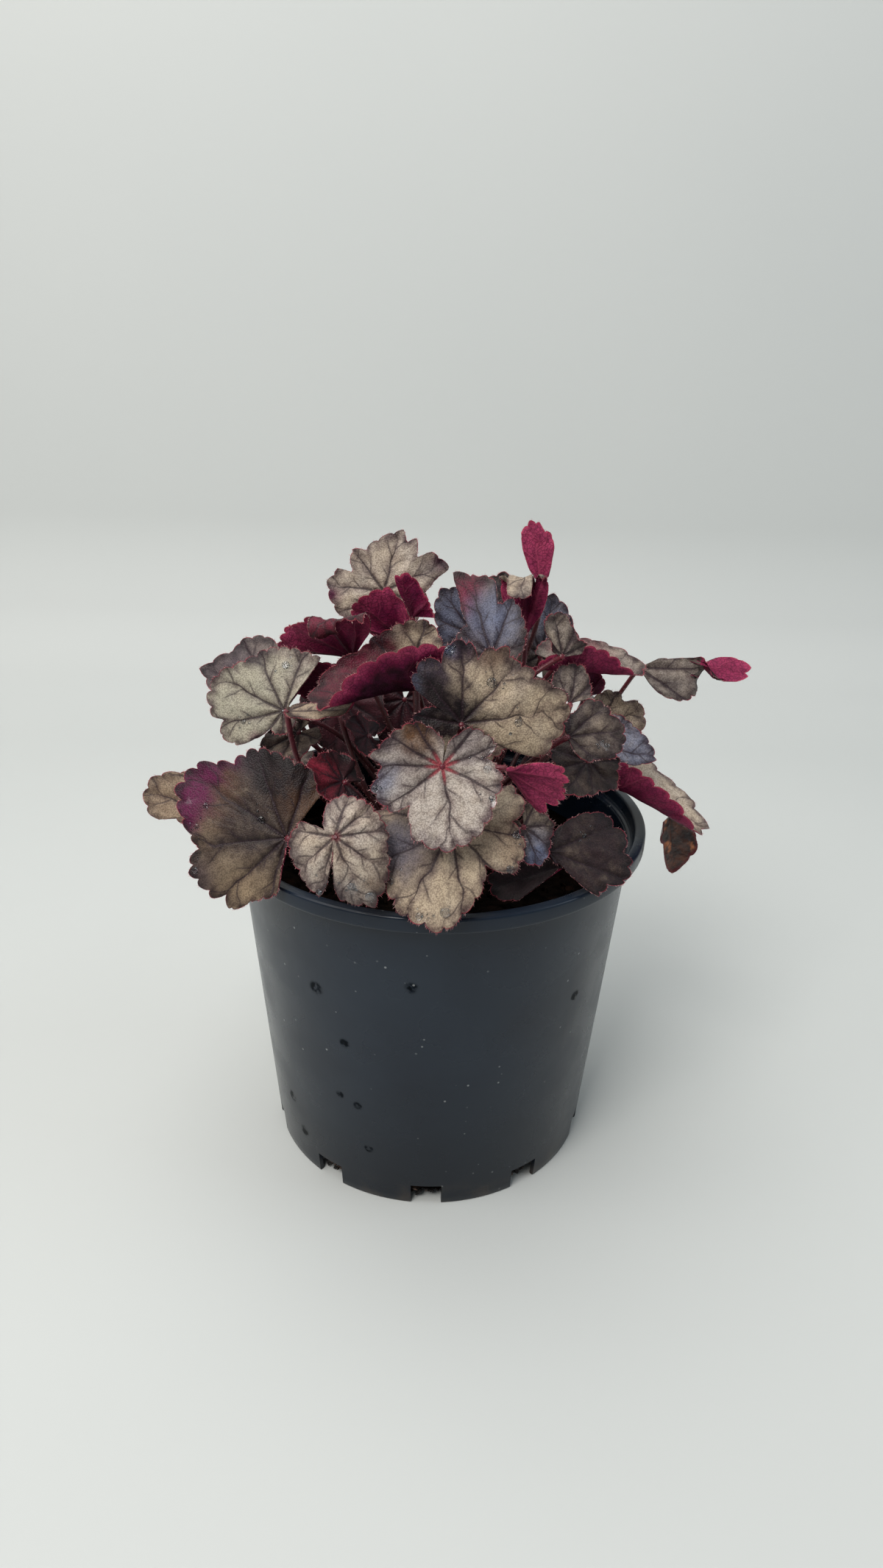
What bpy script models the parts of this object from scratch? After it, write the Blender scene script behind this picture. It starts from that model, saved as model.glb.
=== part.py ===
"""Heuchera (coral bells) in its black nursery pot, in metres, with +Z up.

The pot stands on its foot ring at Z = 0. The plant's front, the side that the photograph
shows, faces -Y. Every leaf grows from the crown in the middle of the pot on its own stalk.
"""

import math

import bmesh
import bpy
import numpy as np
from mathutils import Matrix, Vector, noise

MM = 0.001

# The pot: a 14 cm round nursery pot, thermoformed, with a rolled rim and a foot ring.
POT_HEIGHT = 119.0 * MM
RIM_RADIUS = 70.0 * MM
RIM_SKIRT = 4.9 * MM
RIM_LEDGE = 4.6 * MM
BODY_TOP_RADIUS = 65.3 * MM
BASE_RADIUS = 55.6 * MM
WALL = 1.4 * MM
FLOOR_UNDERSIDE = 3.0 * MM
FLOOR_TOP = 4.8 * MM
POT_STEPS = 60
NOTCHES = 10
NOTCH_WIDTH = 10.0 * MM
NOTCH_HEIGHT = 8.0 * MM

# Potting mix and crown.
SOIL_TOP = 99.2 * MM
SOIL_ROUGHNESS = 1.1 * MM
SOIL_STEPS = 30
CROWN_CENTRE = Vector((0.0, 0.0, 99.0 * MM))
CROWN_RADIUS = 12.0 * MM
CLEAR = 0.3 * MM

# Leaves.
BLADE_THICKNESS = 0.7 * MM
STALK_RADIUS = 0.85 * MM
STALK_POINTS = 7
VEIN_LINEAR = 1.69
VEIN_SQUARE = 2.48

# The plant leans a little out of the pot's centre, so the whole part is moved to bring the
# middle of its outline over the origin.
TO_CENTRE = Vector((-6.3 * MM, -1.15 * MM, 0.0))

# A leaf's outline is given as (angle, reach) pairs: the angle in degrees from the line that
# runs from the stalk joint to the tip, and the reach as a share of that line's length.
REGULAR = (
    (-160, 0.5), (-130, 0.72), (-105, 0.66), (-75, 0.86), (-48, 0.76), (0, 1),
    (48, 0.76), (75, 0.86), (105, 0.66), (130, 0.72), (160, 0.5),
)

# One row for each leaf, with positions in millimetres.
# joint: where the stalk meets the blade. tip: the end of the middle lobe before any curl.
# face: the way the upper side looks. teeth: round teeth along the edge. width narrows or widens
# the blade, and cup, wave, fold and twist shape it. Each of bends rolls what lies beyond a line
# across the blade: the line's heading and distance, the roll's radius and its angle. stalk: the
# side and height on the crown where the stalk rises, in degrees, how straight it leaves the
# crown and reaches the blade, and how far under the blade it comes in.
LEAVES = (
    dict(
        name="leaf_front_centre", joint=(2, -64, 162.5), tip=(4.5, -72.5, 141.5),
        face=(0.05, -0.93, 0.38),
        teeth=27, cup=0.08, stalk=(-79, 53, 0.4, 0.24, 0.88),
        lobes=((-190, 0.28), (-153, 0.63), (-117, 0.76), (-103, 0.87), (-95, 0.71), (-77, 0.89),
        (-54, 0.81), (-45, 0.61), (-28, 0.91), (-3, 1), (19, 0.93), (54, 0.74), (75, 0.74),
        (97, 0.54), (107, 0.7), (138, 0.59), (162, 0.28)),
    ),
    dict(
        name="leaf_front_low", joint=(5, -61.5, 143.5), tip=(3, -80.5, 122),
        face=(0.05, -0.85, 0.55),
        teeth=25, cup=-0.2, stalk=(-87, 40, 0.18, 0.24, 0.86),
        lobes=((-135, 0.27), (-116, 0.53), (-97, 0.78), (-80, 0.69), (-46, 0.83), (-25, 0.96),
        (-12, 0.97), (0, 1.01), (15, 0.83), (34, 0.65), (48, 0.5), (59, 0.75), (82, 0.76),
        (103, 0.63), (115, 0.8), (133, 0.77), (149, 0.31)),
    ),
    dict(
        name="leaf_front_small", joint=(-26, -72, 145), tip=(-22, -67.5, 155.5),
        face=(-0.1, -0.9, 0.45),
        teeth=27, cup=-0.25, stalk=(-121, 29, 0.47, 0.46, 0.87),
        lobes=((-167, 0.38), (-164, 1.12), (-159, 1.44), (-134, 1.77), (-101, 1.35), (-80, 1.14),
        (-68, 1.16), (-43, 1.06), (-24, 1.03), (13, 0.95), (37, 0.77), (55, 0.5), (80, 0.29),
        (83, 0.54), (88, 0.92), (121, 1.18), (153, 1.21), (182, 1.46), (188, 1.11), (191, 0.47)),
    ),
    dict(
        name="leaf_left_large", joint=(-42, -53, 134.5), tip=(-73.5, -45, 146),
        face=(-0.35, -0.8, 0.45),
        teeth=25, cup=-0.12, wave=0.02, stalk=(-135, 27, 0.5, 0.13, 0.65),
        lobes=((-106, 0.16), (-103, 0.64), (-94, 0.63), (-71, 0.64), (-45, 0.81), (-27, 0.81),
        (-14, 1.01), (-8, 1.06), (3, 1.08), (18, 0.92), (30, 0.8), (44, 0.93), (52, 0.89),
        (63, 0.85), (67, 0.77), (75, 0.82), (87, 0.6), (104, 0.49), (107, 0.21), (110, 0.09)),
    ),
    dict(
        name="leaf_left_far", joint=(-71.5, -20, 127), tip=(-93.5, -16, 130),
        face=(-0.3, -0.85, 0.4),
        teeth=10, stalk=(-165, 25, 0.26, 0.21, 0.37),
        lobes=((-71, 0.41), (-37, 0.71), (-16, 0.96), (0, 1), (14, 0.91), (24, 0.75), (27, 0.5),
        (90, 0.26)),
    ),
    dict(
        name="leaf_left_upper", joint=(-45.5, -27, 163.5), tip=(-71, -19, 166),
        face=(-0.3, -0.85, 0.4),
        teeth=24, cup=-0.1, stalk=(-151, 58, 0.35, 0.37, 0.4),
        lobes=((-116, 0.22), (-113, 0.72), (-90, 0.71), (-71, 0.73), (-53, 0.75), (-44, 0.74),
        (-29, 0.81), (-12, 0.99), (1, 0.99), (16, 0.9), (19, 0.78), (32, 0.84), (46, 0.7),
        (55, 0.48), (64, 0.25), (83, 0.28), (122, 0.25), (157, 0.19)),
    ),
    dict(
        name="leaf_left_back", joint=(-56, 4, 162), tip=(-79.5, 12, 165.5),
        face=(-0.2, -0.8, 0.55),
        teeth=14, cup=-0.05, stalk=(183, 33, 0.2, 0.14, 0.9),
        lobes=((-118, 0.27), (-101, 0.49), (-68, 0.63), (-37, 0.7), (-25, 0.64), (-4, 0.85),
        (4, 0.97), (11, 0.88), (37, 0.64), (110, 0.35)),
    ),
    dict(
        name="leaf_top_back", joint=(-18.5, 22, 188), tip=(-14.5, 28, 207), face=(0, -0.95, 0.3),
        teeth=17, tooth=0.05, cup=-0.03, stalk=(145, 57, 0.35, 0.1, 0.43),
        lobes=((-128, 0.72), (-76, 0.7), (-66, 0.83), (-58, 1.13), (-47, 1.09), (-37, 0.99),
        (-33, 0.77), (-19, 1.01), (-12, 0.9), (-5, 1.04), (14, 0.88), (38, 0.74), (50, 0.87),
        (72, 0.6), (76, 0.83), (93, 0.95), (110, 0.9), (150, 0.76)),
    ),
    dict(
        name="leaf_fan_left", joint=(-25.5, -14, 177), tip=(-39, -22, 191), face=(0.3, 0.8, 0.5),
        teeth=16, wave=0.04, waves=9, bends=((18, 0.84, 0.12, -265),),
        stalk=(-140, 75, 0.4, 0.14, 0.29), colour="wine",
        lobes=((-71, 0.5), (-60, 1.1), (-52, 1.14), (-25, 1.02), (-4, 1), (7, 0.95), (10, 1.25),
        (18, 1.38), (27, 1.3), (31, 1), (42, 1.15), (50, 1.3), (63, 0.75)),
    ),
    dict(
        name="leaf_roll_top", joint=(-11, -8, 181), tip=(-19, -12, 196.5), face=(0.1, 0.85, 0.5),
        teeth=12, wave=0.05, waves=5, bends=((80, 0.3, 0.35, -70),),
        stalk=(-273, 71, 0.4, 0.26, 0.37), colour="wine",
        lobes=((-77, 0.37), (-60, 0.69), (-40, 1), (-24, 1.05), (-7, 1.04), (12, 1), (21, 0.82),
        (47, 0.54), (88, 0.26)),
    ),
    dict(
        name="leaf_roll_inner", joint=(-8.5, 4.5, 184.5), tip=(-10, 4.5, 198.5),
        face=(0, 0.9, 0.4),
        teeth=8, stalk=(176, 78, 0.34, 0.19, 0.15), colour="wine",
        lobes=((-27, 0.26), (-24, 0.52), (-21, 0.87), (-18, 1.01), (0, 1), (14, 0.8), (29, 0.61),
        (67, 0.47), (97, 0.51)),
    ),
    dict(
        name="leaf_taco_left", joint=(-7, -35, 179), tip=(-36.5, -41, 173), face=(0, -0.45, 0.9),
        teeth=21, bends=((90, 0.1, 0.2, 100), (-90, 0.05, 0.3, 45),),
        stalk=(-103, 22, 0.5, 0.19, 0.81), colour="wine",
        lobes=((-150, 0.4), (-120, 0.55), (-75, 0.5), (-40, 0.55), (0, 1), (30, 0.9), (60, 0.85),
        (90, 0.8), (120, 0.75), (150, 0.55)),
    ),
    dict(
        name="leaf_edge_left", joint=(-43.5, -33.5, 166), tip=(-20, -39.5, 169.5),
        face=(0, -0.15, 0.98),
        teeth=11, bends=((0, 0.7, 0.2, 75),), stalk=(-160, 42, 0.32, 0.52, 0.88),
        lobes=((-75, 0.12), (-40, 0.32), (-12, 0.85), (0, 1), (12, 0.85), (40, 0.32), (75, 0.12)),
    ),
    dict(
        name="leaf_crinkle_inner", joint=(-20.5, -25, 155.5), tip=(-27, -30, 160.5),
        face=(0, -0.6, 0.8),
        wave=0.12, waves=5, stalk=(-175, 64, 0.31, 0.19, 0.33), colour="wine",
    ),
    dict(
        name="leaf_red_young", joint=(-26, -47, 150), tip=(-35.5, -53, 157),
        face=(-0.1, -0.6, 0.8),
        wave=0.1, waves=6, width=0.9, stalk=(-111, 37, 0.42, 0.23, 0.26), colour="wine",
    ),
    dict(
        name="leaf_right_large", joint=(7, -52.5, 170.5), tip=(8, -48.5, 193),
        face=(0.1, -0.85, 0.5),
        teeth=27, cup=-0.08, wave=0.02, stalk=(-74, 64, 0.52, 0.28, 0.58),
        lobes=((-143, 0.59), (-117, 0.63), (-112, 1.11), (-104, 1.16), (-87, 1.32), (-78, 1.37),
        (-69, 1.29), (-56, 1.06), (-52, 1.09), (-37, 0.99), (-28, 1.07), (-14, 0.93), (-11, 0.82),
        (-2, 0.99), (12, 1), (22, 0.81), (33, 0.92), (51, 0.82), (57, 0.73), (60, 0.34),
        (63, 0.43), (84, 0.59), (108, 0.68), (155, 0.5)),
    ),
    dict(
        name="leaf_upper_mid", joint=(16, -19.5, 180), tip=(13.5, -7.5, 202),
        face=(-0.05, -0.9, 0.4),
        teeth=18, cup=-0.08, stalk=(-39, 67, 0.53, 0.27, 0.5),
        lobes=((-119, 0.21), (-71, 0.44), (-45, 0.58), (-25, 0.74), (-10, 0.62), (-7, 0.92),
        (-2, 1), (5, 0.96), (9, 1.05), (21, 1.14), (24, 0.83), (34, 0.48), (55, 0.49),
        (114, 0.28)),
    ),
    dict(
        name="leaf_upper_back", joint=(19, 19, 178.5), tip=(21, 27, 194.5), face=(0, -0.9, 0.4),
        width=0.9, stalk=(45, 64, 0.25, 0.16, 0.34),
    ),
    dict(
        name="leaf_upright_tip", joint=(32.5, 12, 193), tip=(29, 14, 214), face=(0.25, 0.9, 0.15),
        teeth=8, tooth=0.04, stalk=(13, 67, 0.5, 0.13, 0.15), colour="wine",
        lobes=((-33, 0.25), (-23, 0.57), (-15, 0.87), (-4, 1), (4, 0.96), (7, 0.87), (16, 0.8),
        (23, 0.64), (28, 0.39), (35, 0.19)),
    ),
    dict(
        name="leaf_upright_fold", joint=(27, -2.5, 182.5), tip=(24.5, 1.5, 211),
        face=(0.2, 0.9, 0.2),
        teeth=8, bends=((0, 0.5, 0.1, -140),), stalk=(-19, 60, 0.43, 0.32, 0.3), colour="wine",
        lobes=((-50, 0.12), (-17, 0.75), (-16, 0.5), (-8, 0.93), (0, 1), (8, 0.95), (13, 0.5),
        (16, 0.8), (50, 0.12)),
    ),
    dict(
        name="leaf_behind_right", joint=(33.5, 13, 170.5), tip=(37, 19, 189.5),
        face=(0.1, -0.9, 0.35),
        width=0.8, stalk=(52, 34, 0.34, 0.33, 0.23),
    ),
    dict(
        name="leaf_split_right", joint=(38, -5, 173.5), tip=(66, -3, 172), face=(0, -0.5, 0.85),
        teeth=21, bends=((-90, 0.04, 0.18, 105),), stalk=(0, 55, 0.36, 0.31, 0.63),
        lobes=((-150, 0.4), (-110, 0.5), (-70, 0.65), (-30, 0.75), (0, 1), (25, 0.7), (45, 0.52),
        (80, 0.42), (120, 0.35), (160, 0.3)),
    ),
    dict(
        name="leaf_crinkle_right", joint=(37, -19.5, 180), tip=(33.5, -17.5, 192.5),
        face=(0.1, -0.8, 0.5),
        teeth=11, wave=0.06, waves=5, stalk=(-120, 54, 0.58, 0.1, 0.88),
        lobes=((-99, 0.46), (-80, 0.65), (-52, 0.51), (-30, 0.75), (-16, 1), (2, 1.02), (15, 0.98),
        (22, 0.75), (25, 0.43), (55, 0.24)),
    ),
    dict(
        name="leaf_twist_far", joint=(67.5, 20, 164.5), tip=(106.5, 24, 163.5),
        face=(0.05, -0.75, 0.65),
        teeth=11, tooth=0.05, twist=(0.46, 0.68, 178), stalk=(30, 13, 0.43, 0.12, 0.85),
        lobes=((-62, 0.22), (-48, 0.38), (-36, 0.5), (-24, 0.55), (-14, 0.57), (-10, 0.64),
        (-8.5, 0.82), (-6, 0.94), (-1, 1), (4, 0.97), (8, 0.86), (9.2, 0.74), (10.5, 0.6),
        (13, 0.42), (18, 0.28), (26, 0.2)),
    ),
    dict(
        name="leaf_mid_right", joint=(40, -22, 166.5), tip=(41.5, -15.5, 176.5),
        face=(0.1, -0.8, 0.5),
        teeth=8, stalk=(-48, 43, 0.35, 0.27, 0.39),
        lobes=((-69, 0.49), (-33, 0.78), (-8, 1.04), (24, 0.98), (63, 0.62)),
    ),
    dict(
        name="leaf_maroon_right", joint=(47, -3.5, 162), tip=(51, -1.5, 170), face=(0.1, 0.8, 0.5),
        teeth=6, stalk=(-15, 46, 0.58, 0.15, 0.1), colour="wine",
        lobes=((-66, 0.6), (-44, 1.16), (-25, 1.12), (-4, 0.97), (29, 0.83), (53, 0.58)),
    ),
    dict(
        name="leaf_tan_right", joint=(53, 2, 150.5), tip=(66, 6, 157), face=(0.2, -0.85, 0.45),
        teeth=12, stalk=(33, 38, 0.48, 0.45, 0.51),
        lobes=((-74, 0.81), (-29, 1.01), (-16, 1.05), (3, 1.03), (14, 0.74), (29, 0.85),
        (52, 0.77), (92, 0.47), (151, 0.57)),
    ),
    dict(
        name="leaf_blue_right", joint=(52, -9.5, 147.5), tip=(70, -7.5, 146),
        face=(0.3, -0.7, 0.6),
        teeth=12, stalk=(-31, 35, 0.52, 0.23, 0.28),
        lobes=((-75, 0.48), (-34, 0.55), (-10, 1.05), (6, 0.94), (28, 0.78), (61, 0.73),
        (89, 0.48)),
    ),
    dict(
        name="leaf_round_right", joint=(38, -40, 162.5), tip=(55, -38, 163.5),
        face=(0.1, -0.8, 0.6),
        teeth=16, cup=-0.1, stalk=(-53, 57, 0.27, 0.16, 0.62),
        lobes=((-85, 0.12), (-71, 0.35), (-57, 0.55), (-41, 0.63), (-28, 0.87), (-6, 0.99),
        (12, 1), (23, 0.88), (44, 0.89), (59, 0.76), (68, 0.49), (110, 0.23)),
    ),
    dict(
        name="leaf_under_right", joint=(45.5, -30, 151), tip=(38.5, -38, 143.5),
        face=(0, -0.7, 0.7),
        width=1.1, stalk=(4, 36, 0.21, 0.29, 0.92),
    ),
    dict(
        name="leaf_ruffle_pink", joint=(19.5, -62, 161.5), tip=(35, -64, 155.5),
        face=(0.2, 0.75, 0.5),
        teeth=12, tooth=0.1, wave=0.04, waves=7, phase=1, stalk=(-87, 22, 0.46, 0.33, 0.2),
        colour="wine",
        lobes=((-80, 0.16), (-66, 0.24), (-52, 0.5), (-44, 0.95), (-26, 1.04), (-12, 0.9),
        (4, 1.06), (20, 1.08), (28, 0.98), (38, 1.2), (46, 1.1), (50, 0.6), (62, 0.2)),
    ),
    dict(
        name="leaf_taco_right", joint=(52.5, -4, 138.5), tip=(91, -8, 118.5),
        face=(0.3, -0.3, 0.85),
        teeth=19, bends=((-90, 0.06, 0.2, 100),), stalk=(11, 16, 0.4, 0.43, 0.67),
        lobes=((-112, 0.3), (-80, 0.5), (-50, 0.6), (-25, 0.8), (0, 1), (14, 0.85), (30, 0.62),
        (60, 0.5), (90, 0.4), (118, 0.28)),
    ),
    dict(
        name="leaf_dead", joint=(82.5, 12, 113.5), tip=(84.5, 10, 91), face=(0.5, -0.8, 0.1),
        teeth=8, wave=0.05, fold=0.3, stalk=(28, 24, 0.47, 0.4, 0.24), colour="dry",
        lobes=((-86, 0.25), (-18, 0.49), (-4, 0.92), (0, 1.02), (13, 0.86), (37, 0.71), (52, 0.5),
        (86, 0.2)),
    ),
    dict(
        name="leaf_low_right", joint=(33.5, -52, 131.5), tip=(59, -48, 127),
        face=(0.1, -0.75, 0.65),
        teeth=16, cup=-0.1, stalk=(-73, 30, 0.35, 0.5, 0.18),
        lobes=((-72, 0.12), (-45, 0.17), (-42, 0.46), (-36, 0.74), (-23, 0.77), (-14, 0.98),
        (1, 1.02), (9, 0.92), (17, 1.03), (28, 0.9), (37, 0.9), (49, 0.69), (66, 0.38),
        (86, 0.19)),
    ),
    dict(
        name="leaf_blue_small", joint=(25.5, -54.5, 140.5), tip=(30.5, -59.5, 131),
        face=(0.2, -0.8, 0.55),
        width=0.9, stalk=(-65, 42, 0.15, 0.27, 0.91),
    ),
    dict(
        name="leaf_inside_low", joint=(38, -50, 126.5), tip=(17, -56, 120.5),
        face=(-0.1, -0.7, 0.7),
        teeth=12, stalk=(-47, 15, 0.34, 0.29, 0.05),
        lobes=((-90, 0.12), (-27, 0.62), (-13, 1), (5, 1.02), (18, 0.79), (21, 0.32), (24, 0.09)),
    ),
    dict(
        name="leaf_stem_left", joint=(-42.5, -20, 154), tip=(-54.5, -22, 147.5),
        face=(-0.2, -0.6, 0.75),
        width=0.8, stalk=(-176, 50, 0.5, 0.27, 0.88),
    ),
    dict(
        name="leaf_fold_left", joint=(-33.5, -15, 169), tip=(-45.5, -17, 167.5),
        face=(0.3, 0.7, 0.4),
        width=0.9, stalk=(-125, 40, 0.58, 0.35, 0.86), colour="wine",
    ),
    dict(
        name="leaf_blue_left", joint=(11, -0.5, 180.5), tip=(0, 3.5, 194), face=(-0.1, -0.9, 0.3),
        width=0.8, stalk=(29, 78, 0.54, 0.41, 0.34),
    ),
    dict(
        name="leaf_back_1", joint=(40.5, 26, 156), tip=(58, 37.5, 149), face=(0.26, 0.17, 0.95),
        teeth=17, cup=-0.12, wave=0.03, phase=0, stalk=(19, 35, 0.22, 0.23, 0.69),
    ),
    dict(
        name="leaf_back_2", joint=(39.5, 41, 136), tip=(55, 57, 124.5), face=(0.33, 0.34, 0.88),
        teeth=17, cup=-0.12, wave=0.03, phase=1, stalk=(41, 28, 0.51, 0.27, 0.81),
    ),
    dict(
        name="leaf_back_3", joint=(16, 44, 147), tip=(24, 66, 138.5), face=(0.12, 0.32, 0.94),
        teeth=17, cup=-0.12, wave=0.03, phase=2, stalk=(65, 50, 0.26, 0.16, 0.69),
    ),
    dict(
        name="leaf_back_4", joint=(6, 56.5, 130), tip=(8.5, 79.5, 120.5), face=(0.04, 0.37, 0.93),
        teeth=17, cup=-0.12, wave=0.03, phase=3, stalk=(75, 19, 0.29, 0.45, 0.81),
    ),
    dict(
        name="leaf_back_5", joint=(-9.5, 42, 142), tip=(-15, 65, 137), face=(-0.05, 0.2, 0.98),
        teeth=17, cup=-0.12, wave=0.03, phase=4, stalk=(94, 44, 0.39, 0.52, 0.68),
    ),
    dict(
        name="leaf_back_6", joint=(-31.5, 46.5, 133), tip=(-45, 66.5, 123.5),
        face=(-0.21, 0.31, 0.93),
        teeth=17, cup=-0.12, wave=0.03, phase=5, stalk=(114, 35, 0.39, 0.52, 0.68),
    ),
    dict(
        name="leaf_back_7", joint=(-40, 27, 146), tip=(-60, 40.5, 137), face=(-0.28, 0.19, 0.94),
        teeth=17, cup=-0.12, wave=0.03, phase=6, stalk=(145, 43, 0.41, 0.32, 0.68),
    ),
    dict(
        name="leaf_back_8", joint=(-51, 11, 134), tip=(-73.5, 15.5, 124.5),
        face=(-0.37, 0.08, 0.93),
        teeth=17, cup=-0.12, wave=0.03, phase=7, stalk=(166, 39, 0.27, 0.53, 0.62),
    ),
    dict(
        name="leaf_back_9", joint=(22.5, 32, 167), tip=(34, 48.5, 162), face=(0.14, 0.2, 0.97),
        teeth=17, cup=-0.12, wave=0.03, phase=8, stalk=(31, 53, 0.4, 0.26, 0.42),
    ),
    dict(
        name="leaf_back_10", joint=(-22, 23, 163), tip=(-36.5, 37.5, 158),
        face=(-0.17, 0.17, 0.97),
        teeth=17, cup=-0.12, wave=0.03, phase=9, stalk=(109, 59, 0.25, 0.39, 0.84),
    ),
    dict(
        name="leaf_inner_left", joint=(-30, 4, 156), tip=(-34, -1, 138), face=(-0.1, -0.85, 0.5),
        teeth=15, wave=0.04, waves=5, stalk=(208, 88, 0.46, 0.34, 0.83),
    ),
    dict(
        name="leaf_inner_mid", joint=(-11, 9, 155), tip=(-13, 4, 138), face=(0.05, -0.85, 0.5),
        teeth=15, wave=0.04, waves=5, phase=2, stalk=(160, 68, 0.34, 0.27, 0.87),
    ),
)

SHAPE = dict(
    teeth=17, tooth=0.07, cup=0.0, wave=0.0, waves=4, phase=0.0, pleat=0.04, fold=0.0,
    twist=None, bends=(), width=1.0, lobes=REGULAR,
)

TAN_LEAF = (0.30, 0.24, 0.20)
WINE_LEAF = (0.24, 0.05, 0.09)
DRY_LEAF = (0.16, 0.07, 0.03)


def clear_scene():
    for item in list(bpy.data.objects):
        bpy.data.objects.remove(item, do_unlink=True)


def new_collection(name):
    collection = bpy.data.collections.new(name)
    bpy.context.scene.collection.children.link(collection)
    return collection


def material(name, colour, roughness, metallic=0.0):
    made = bpy.data.materials.new(name)
    made.use_nodes = True
    shader = made.node_tree.nodes["Principled BSDF"]
    shader.inputs["Base Color"].default_value = (*colour, 1.0)
    shader.inputs["Roughness"].default_value = roughness
    shader.inputs["Metallic"].default_value = metallic
    made.diffuse_color = (*colour, 1.0)
    return made


def object_from(bm, name, collection):
    mesh = bpy.data.meshes.new(name)
    bm.to_mesh(mesh)
    bm.free()
    made = bpy.data.objects.new(name, mesh)
    collection.objects.link(made)
    return made


def apply_modifiers(target):
    """Replaces the object's mesh with what its modifiers make of it."""
    bpy.context.view_layer.update()
    graph = bpy.context.evaluated_depsgraph_get()
    made = bpy.data.meshes.new_from_object(target.evaluated_get(graph))
    target.modifiers.clear()
    old = target.data
    target.data = made
    bpy.data.meshes.remove(old)


def shade_smooth(target, angle=math.radians(35)):
    mesh = target.data
    mesh.shade_smooth()
    mesh.set_sharp_from_angle(angle=angle)


def turned(name, profile, steps, collection):
    """A turned body: the profile, given as (radius, height) points, swept round Z."""
    bm = bmesh.new()
    points = [bm.verts.new((radius, 0.0, height)) for radius, height in profile]
    for upper, lower in zip(points, points[1:]):
        bm.edges.new((upper, lower))
    made = object_from(bm, name, collection)
    screw = made.modifiers.new("Turn", "SCREW")
    screw.steps = steps
    screw.render_steps = steps
    screw.use_merge_vertices = True
    screw.merge_threshold = 0.00001
    screw.use_smooth_shade = False
    return made


def roll(points, heading, start, radius, angle):
    """Rolls the sheet beyond a line across it round a cylinder that touches it along that line."""
    side = math.copysign(1.0, angle)
    along = np.array((math.cos(math.radians(heading)), math.sin(math.radians(heading))))
    across = np.array((-along[1], along[0]))
    ahead = points[:, :2] @ along - start
    sideways = points[:, :2] @ across
    height = points[:, 2] * side
    full = math.radians(abs(angle))
    turn = np.clip(ahead / radius, 0.0, full)
    rest = np.maximum(ahead - radius * full, 0.0)
    reach = np.minimum(ahead, 0.0) + (radius - height) * np.sin(turn) + rest * np.cos(turn)
    lift = radius - (radius - height) * np.cos(turn) + rest * np.sin(turn)
    flat = np.outer(start + reach, along) + np.outer(sideways, across)
    return np.column_stack((flat, lift * side))


def twisted(points, length, start, end, degrees):
    """Turns the blade about its middle line, from none at start to the full angle at end."""
    share = np.clip((points[:, 0] / length - start) / (end - start), 0.0, 1.0)
    turn = math.radians(degrees) * share * share * (3.0 - 2.0 * share)
    side = points[:, 1] * np.cos(turn) - points[:, 2] * np.sin(turn)
    lift = points[:, 1] * np.sin(turn) + points[:, 2] * np.cos(turn)
    return np.column_stack((points[:, 0], side, lift))


def leaf_axes(leaf):
    """The leaf's length and its own axes: towards the tip, to the left, and out of its face."""
    span = Vector(leaf["tip"]) - Vector(leaf["joint"])
    length = span.length * MM
    ahead = span.normalized()
    face = Vector(leaf["face"])
    face = (face - ahead * face.dot(ahead)).normalized()
    return length, Matrix((ahead, face.cross(ahead), face))


def blade_points(leaf, around, outward):
    """Points of the blade's upper side, from the joint, in metres.

    around runs from 0 to 1 along the outline and outward from 0 at the joint to 1 at the edge.
    """
    shape = {**SHAPE, **leaf}
    length, axes = leaf_axes(leaf)
    lobes = np.array(shape["lobes"], float)
    angles = np.radians(lobes[:, 0])
    angle = angles[0] + (angles[-1] - angles[0]) * around
    reach = np.interp(angle, angles, lobes[:, 1])
    tooth = np.abs(np.sin(math.pi * shape["teeth"] * around)) ** 0.6
    distance = length * outward * reach * (1.0 - shape["tooth"] * (1.0 - tooth))
    ahead = distance * np.cos(angle)
    side = distance * np.sin(angle) * shape["width"]
    share = np.abs(angle / np.where(angle > 0, angles[-1], angles[0]))
    vein = VEIN_LINEAR * share + VEIN_SQUARE * share * share
    pleat = 0.5 - 0.5 * np.cos(2.0 * math.pi * vein)
    ripple = np.sin(shape["waves"] * angle + shape["phase"])
    lift = (
        shape["cup"] * distance * distance / length
        + shape["wave"] * length * outward * outward * ripple
        + shape["pleat"] * length * outward * (1.0 - 0.6 * outward) * pleat
        + shape["fold"] * (np.sqrt(side * side + (0.12 * length) ** 2) - 0.12 * length)
    )
    points = np.column_stack((ahead, side, lift))
    if shape["twist"]:
        points = twisted(points, length, *shape["twist"])
    for heading, start, radius, bend in shape["bends"]:
        points = roll(points, heading, start * length, radius * length, bend)
    return points @ np.array(axes)


def blade_rings(leaf):
    """Rows of points, from the joint out to the teeth: the share outward and the points around."""
    teeth = {**SHAPE, **leaf}["teeth"]
    edge = 2 * teeth
    middle = max(6, round(0.5 * teeth))
    inner = max(4, round(0.25 * teeth))
    if "bends" in leaf or "twist" in leaf:
        return ((0.28, inner), (0.52, middle), (0.77, middle), (1.0, edge))
    return ((0.34, inner), (0.68, middle), (1.0, edge))


def stitch(bm, inner, outer):
    """Fills the band between two rows of points with triangles, taking the nearer step first."""
    i = 0
    o = 0
    while i < len(inner) - 1 or o < len(outer) - 1:
        next_inner = (i + 1) / (len(inner) - 1)
        next_outer = (o + 1) / (len(outer) - 1)
        if next_outer <= next_inner:
            bm.faces.new((inner[i], outer[o], outer[o + 1]))
            o += 1
        else:
            bm.faces.new((inner[i], outer[o], inner[i + 1]))
            i += 1


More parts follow.
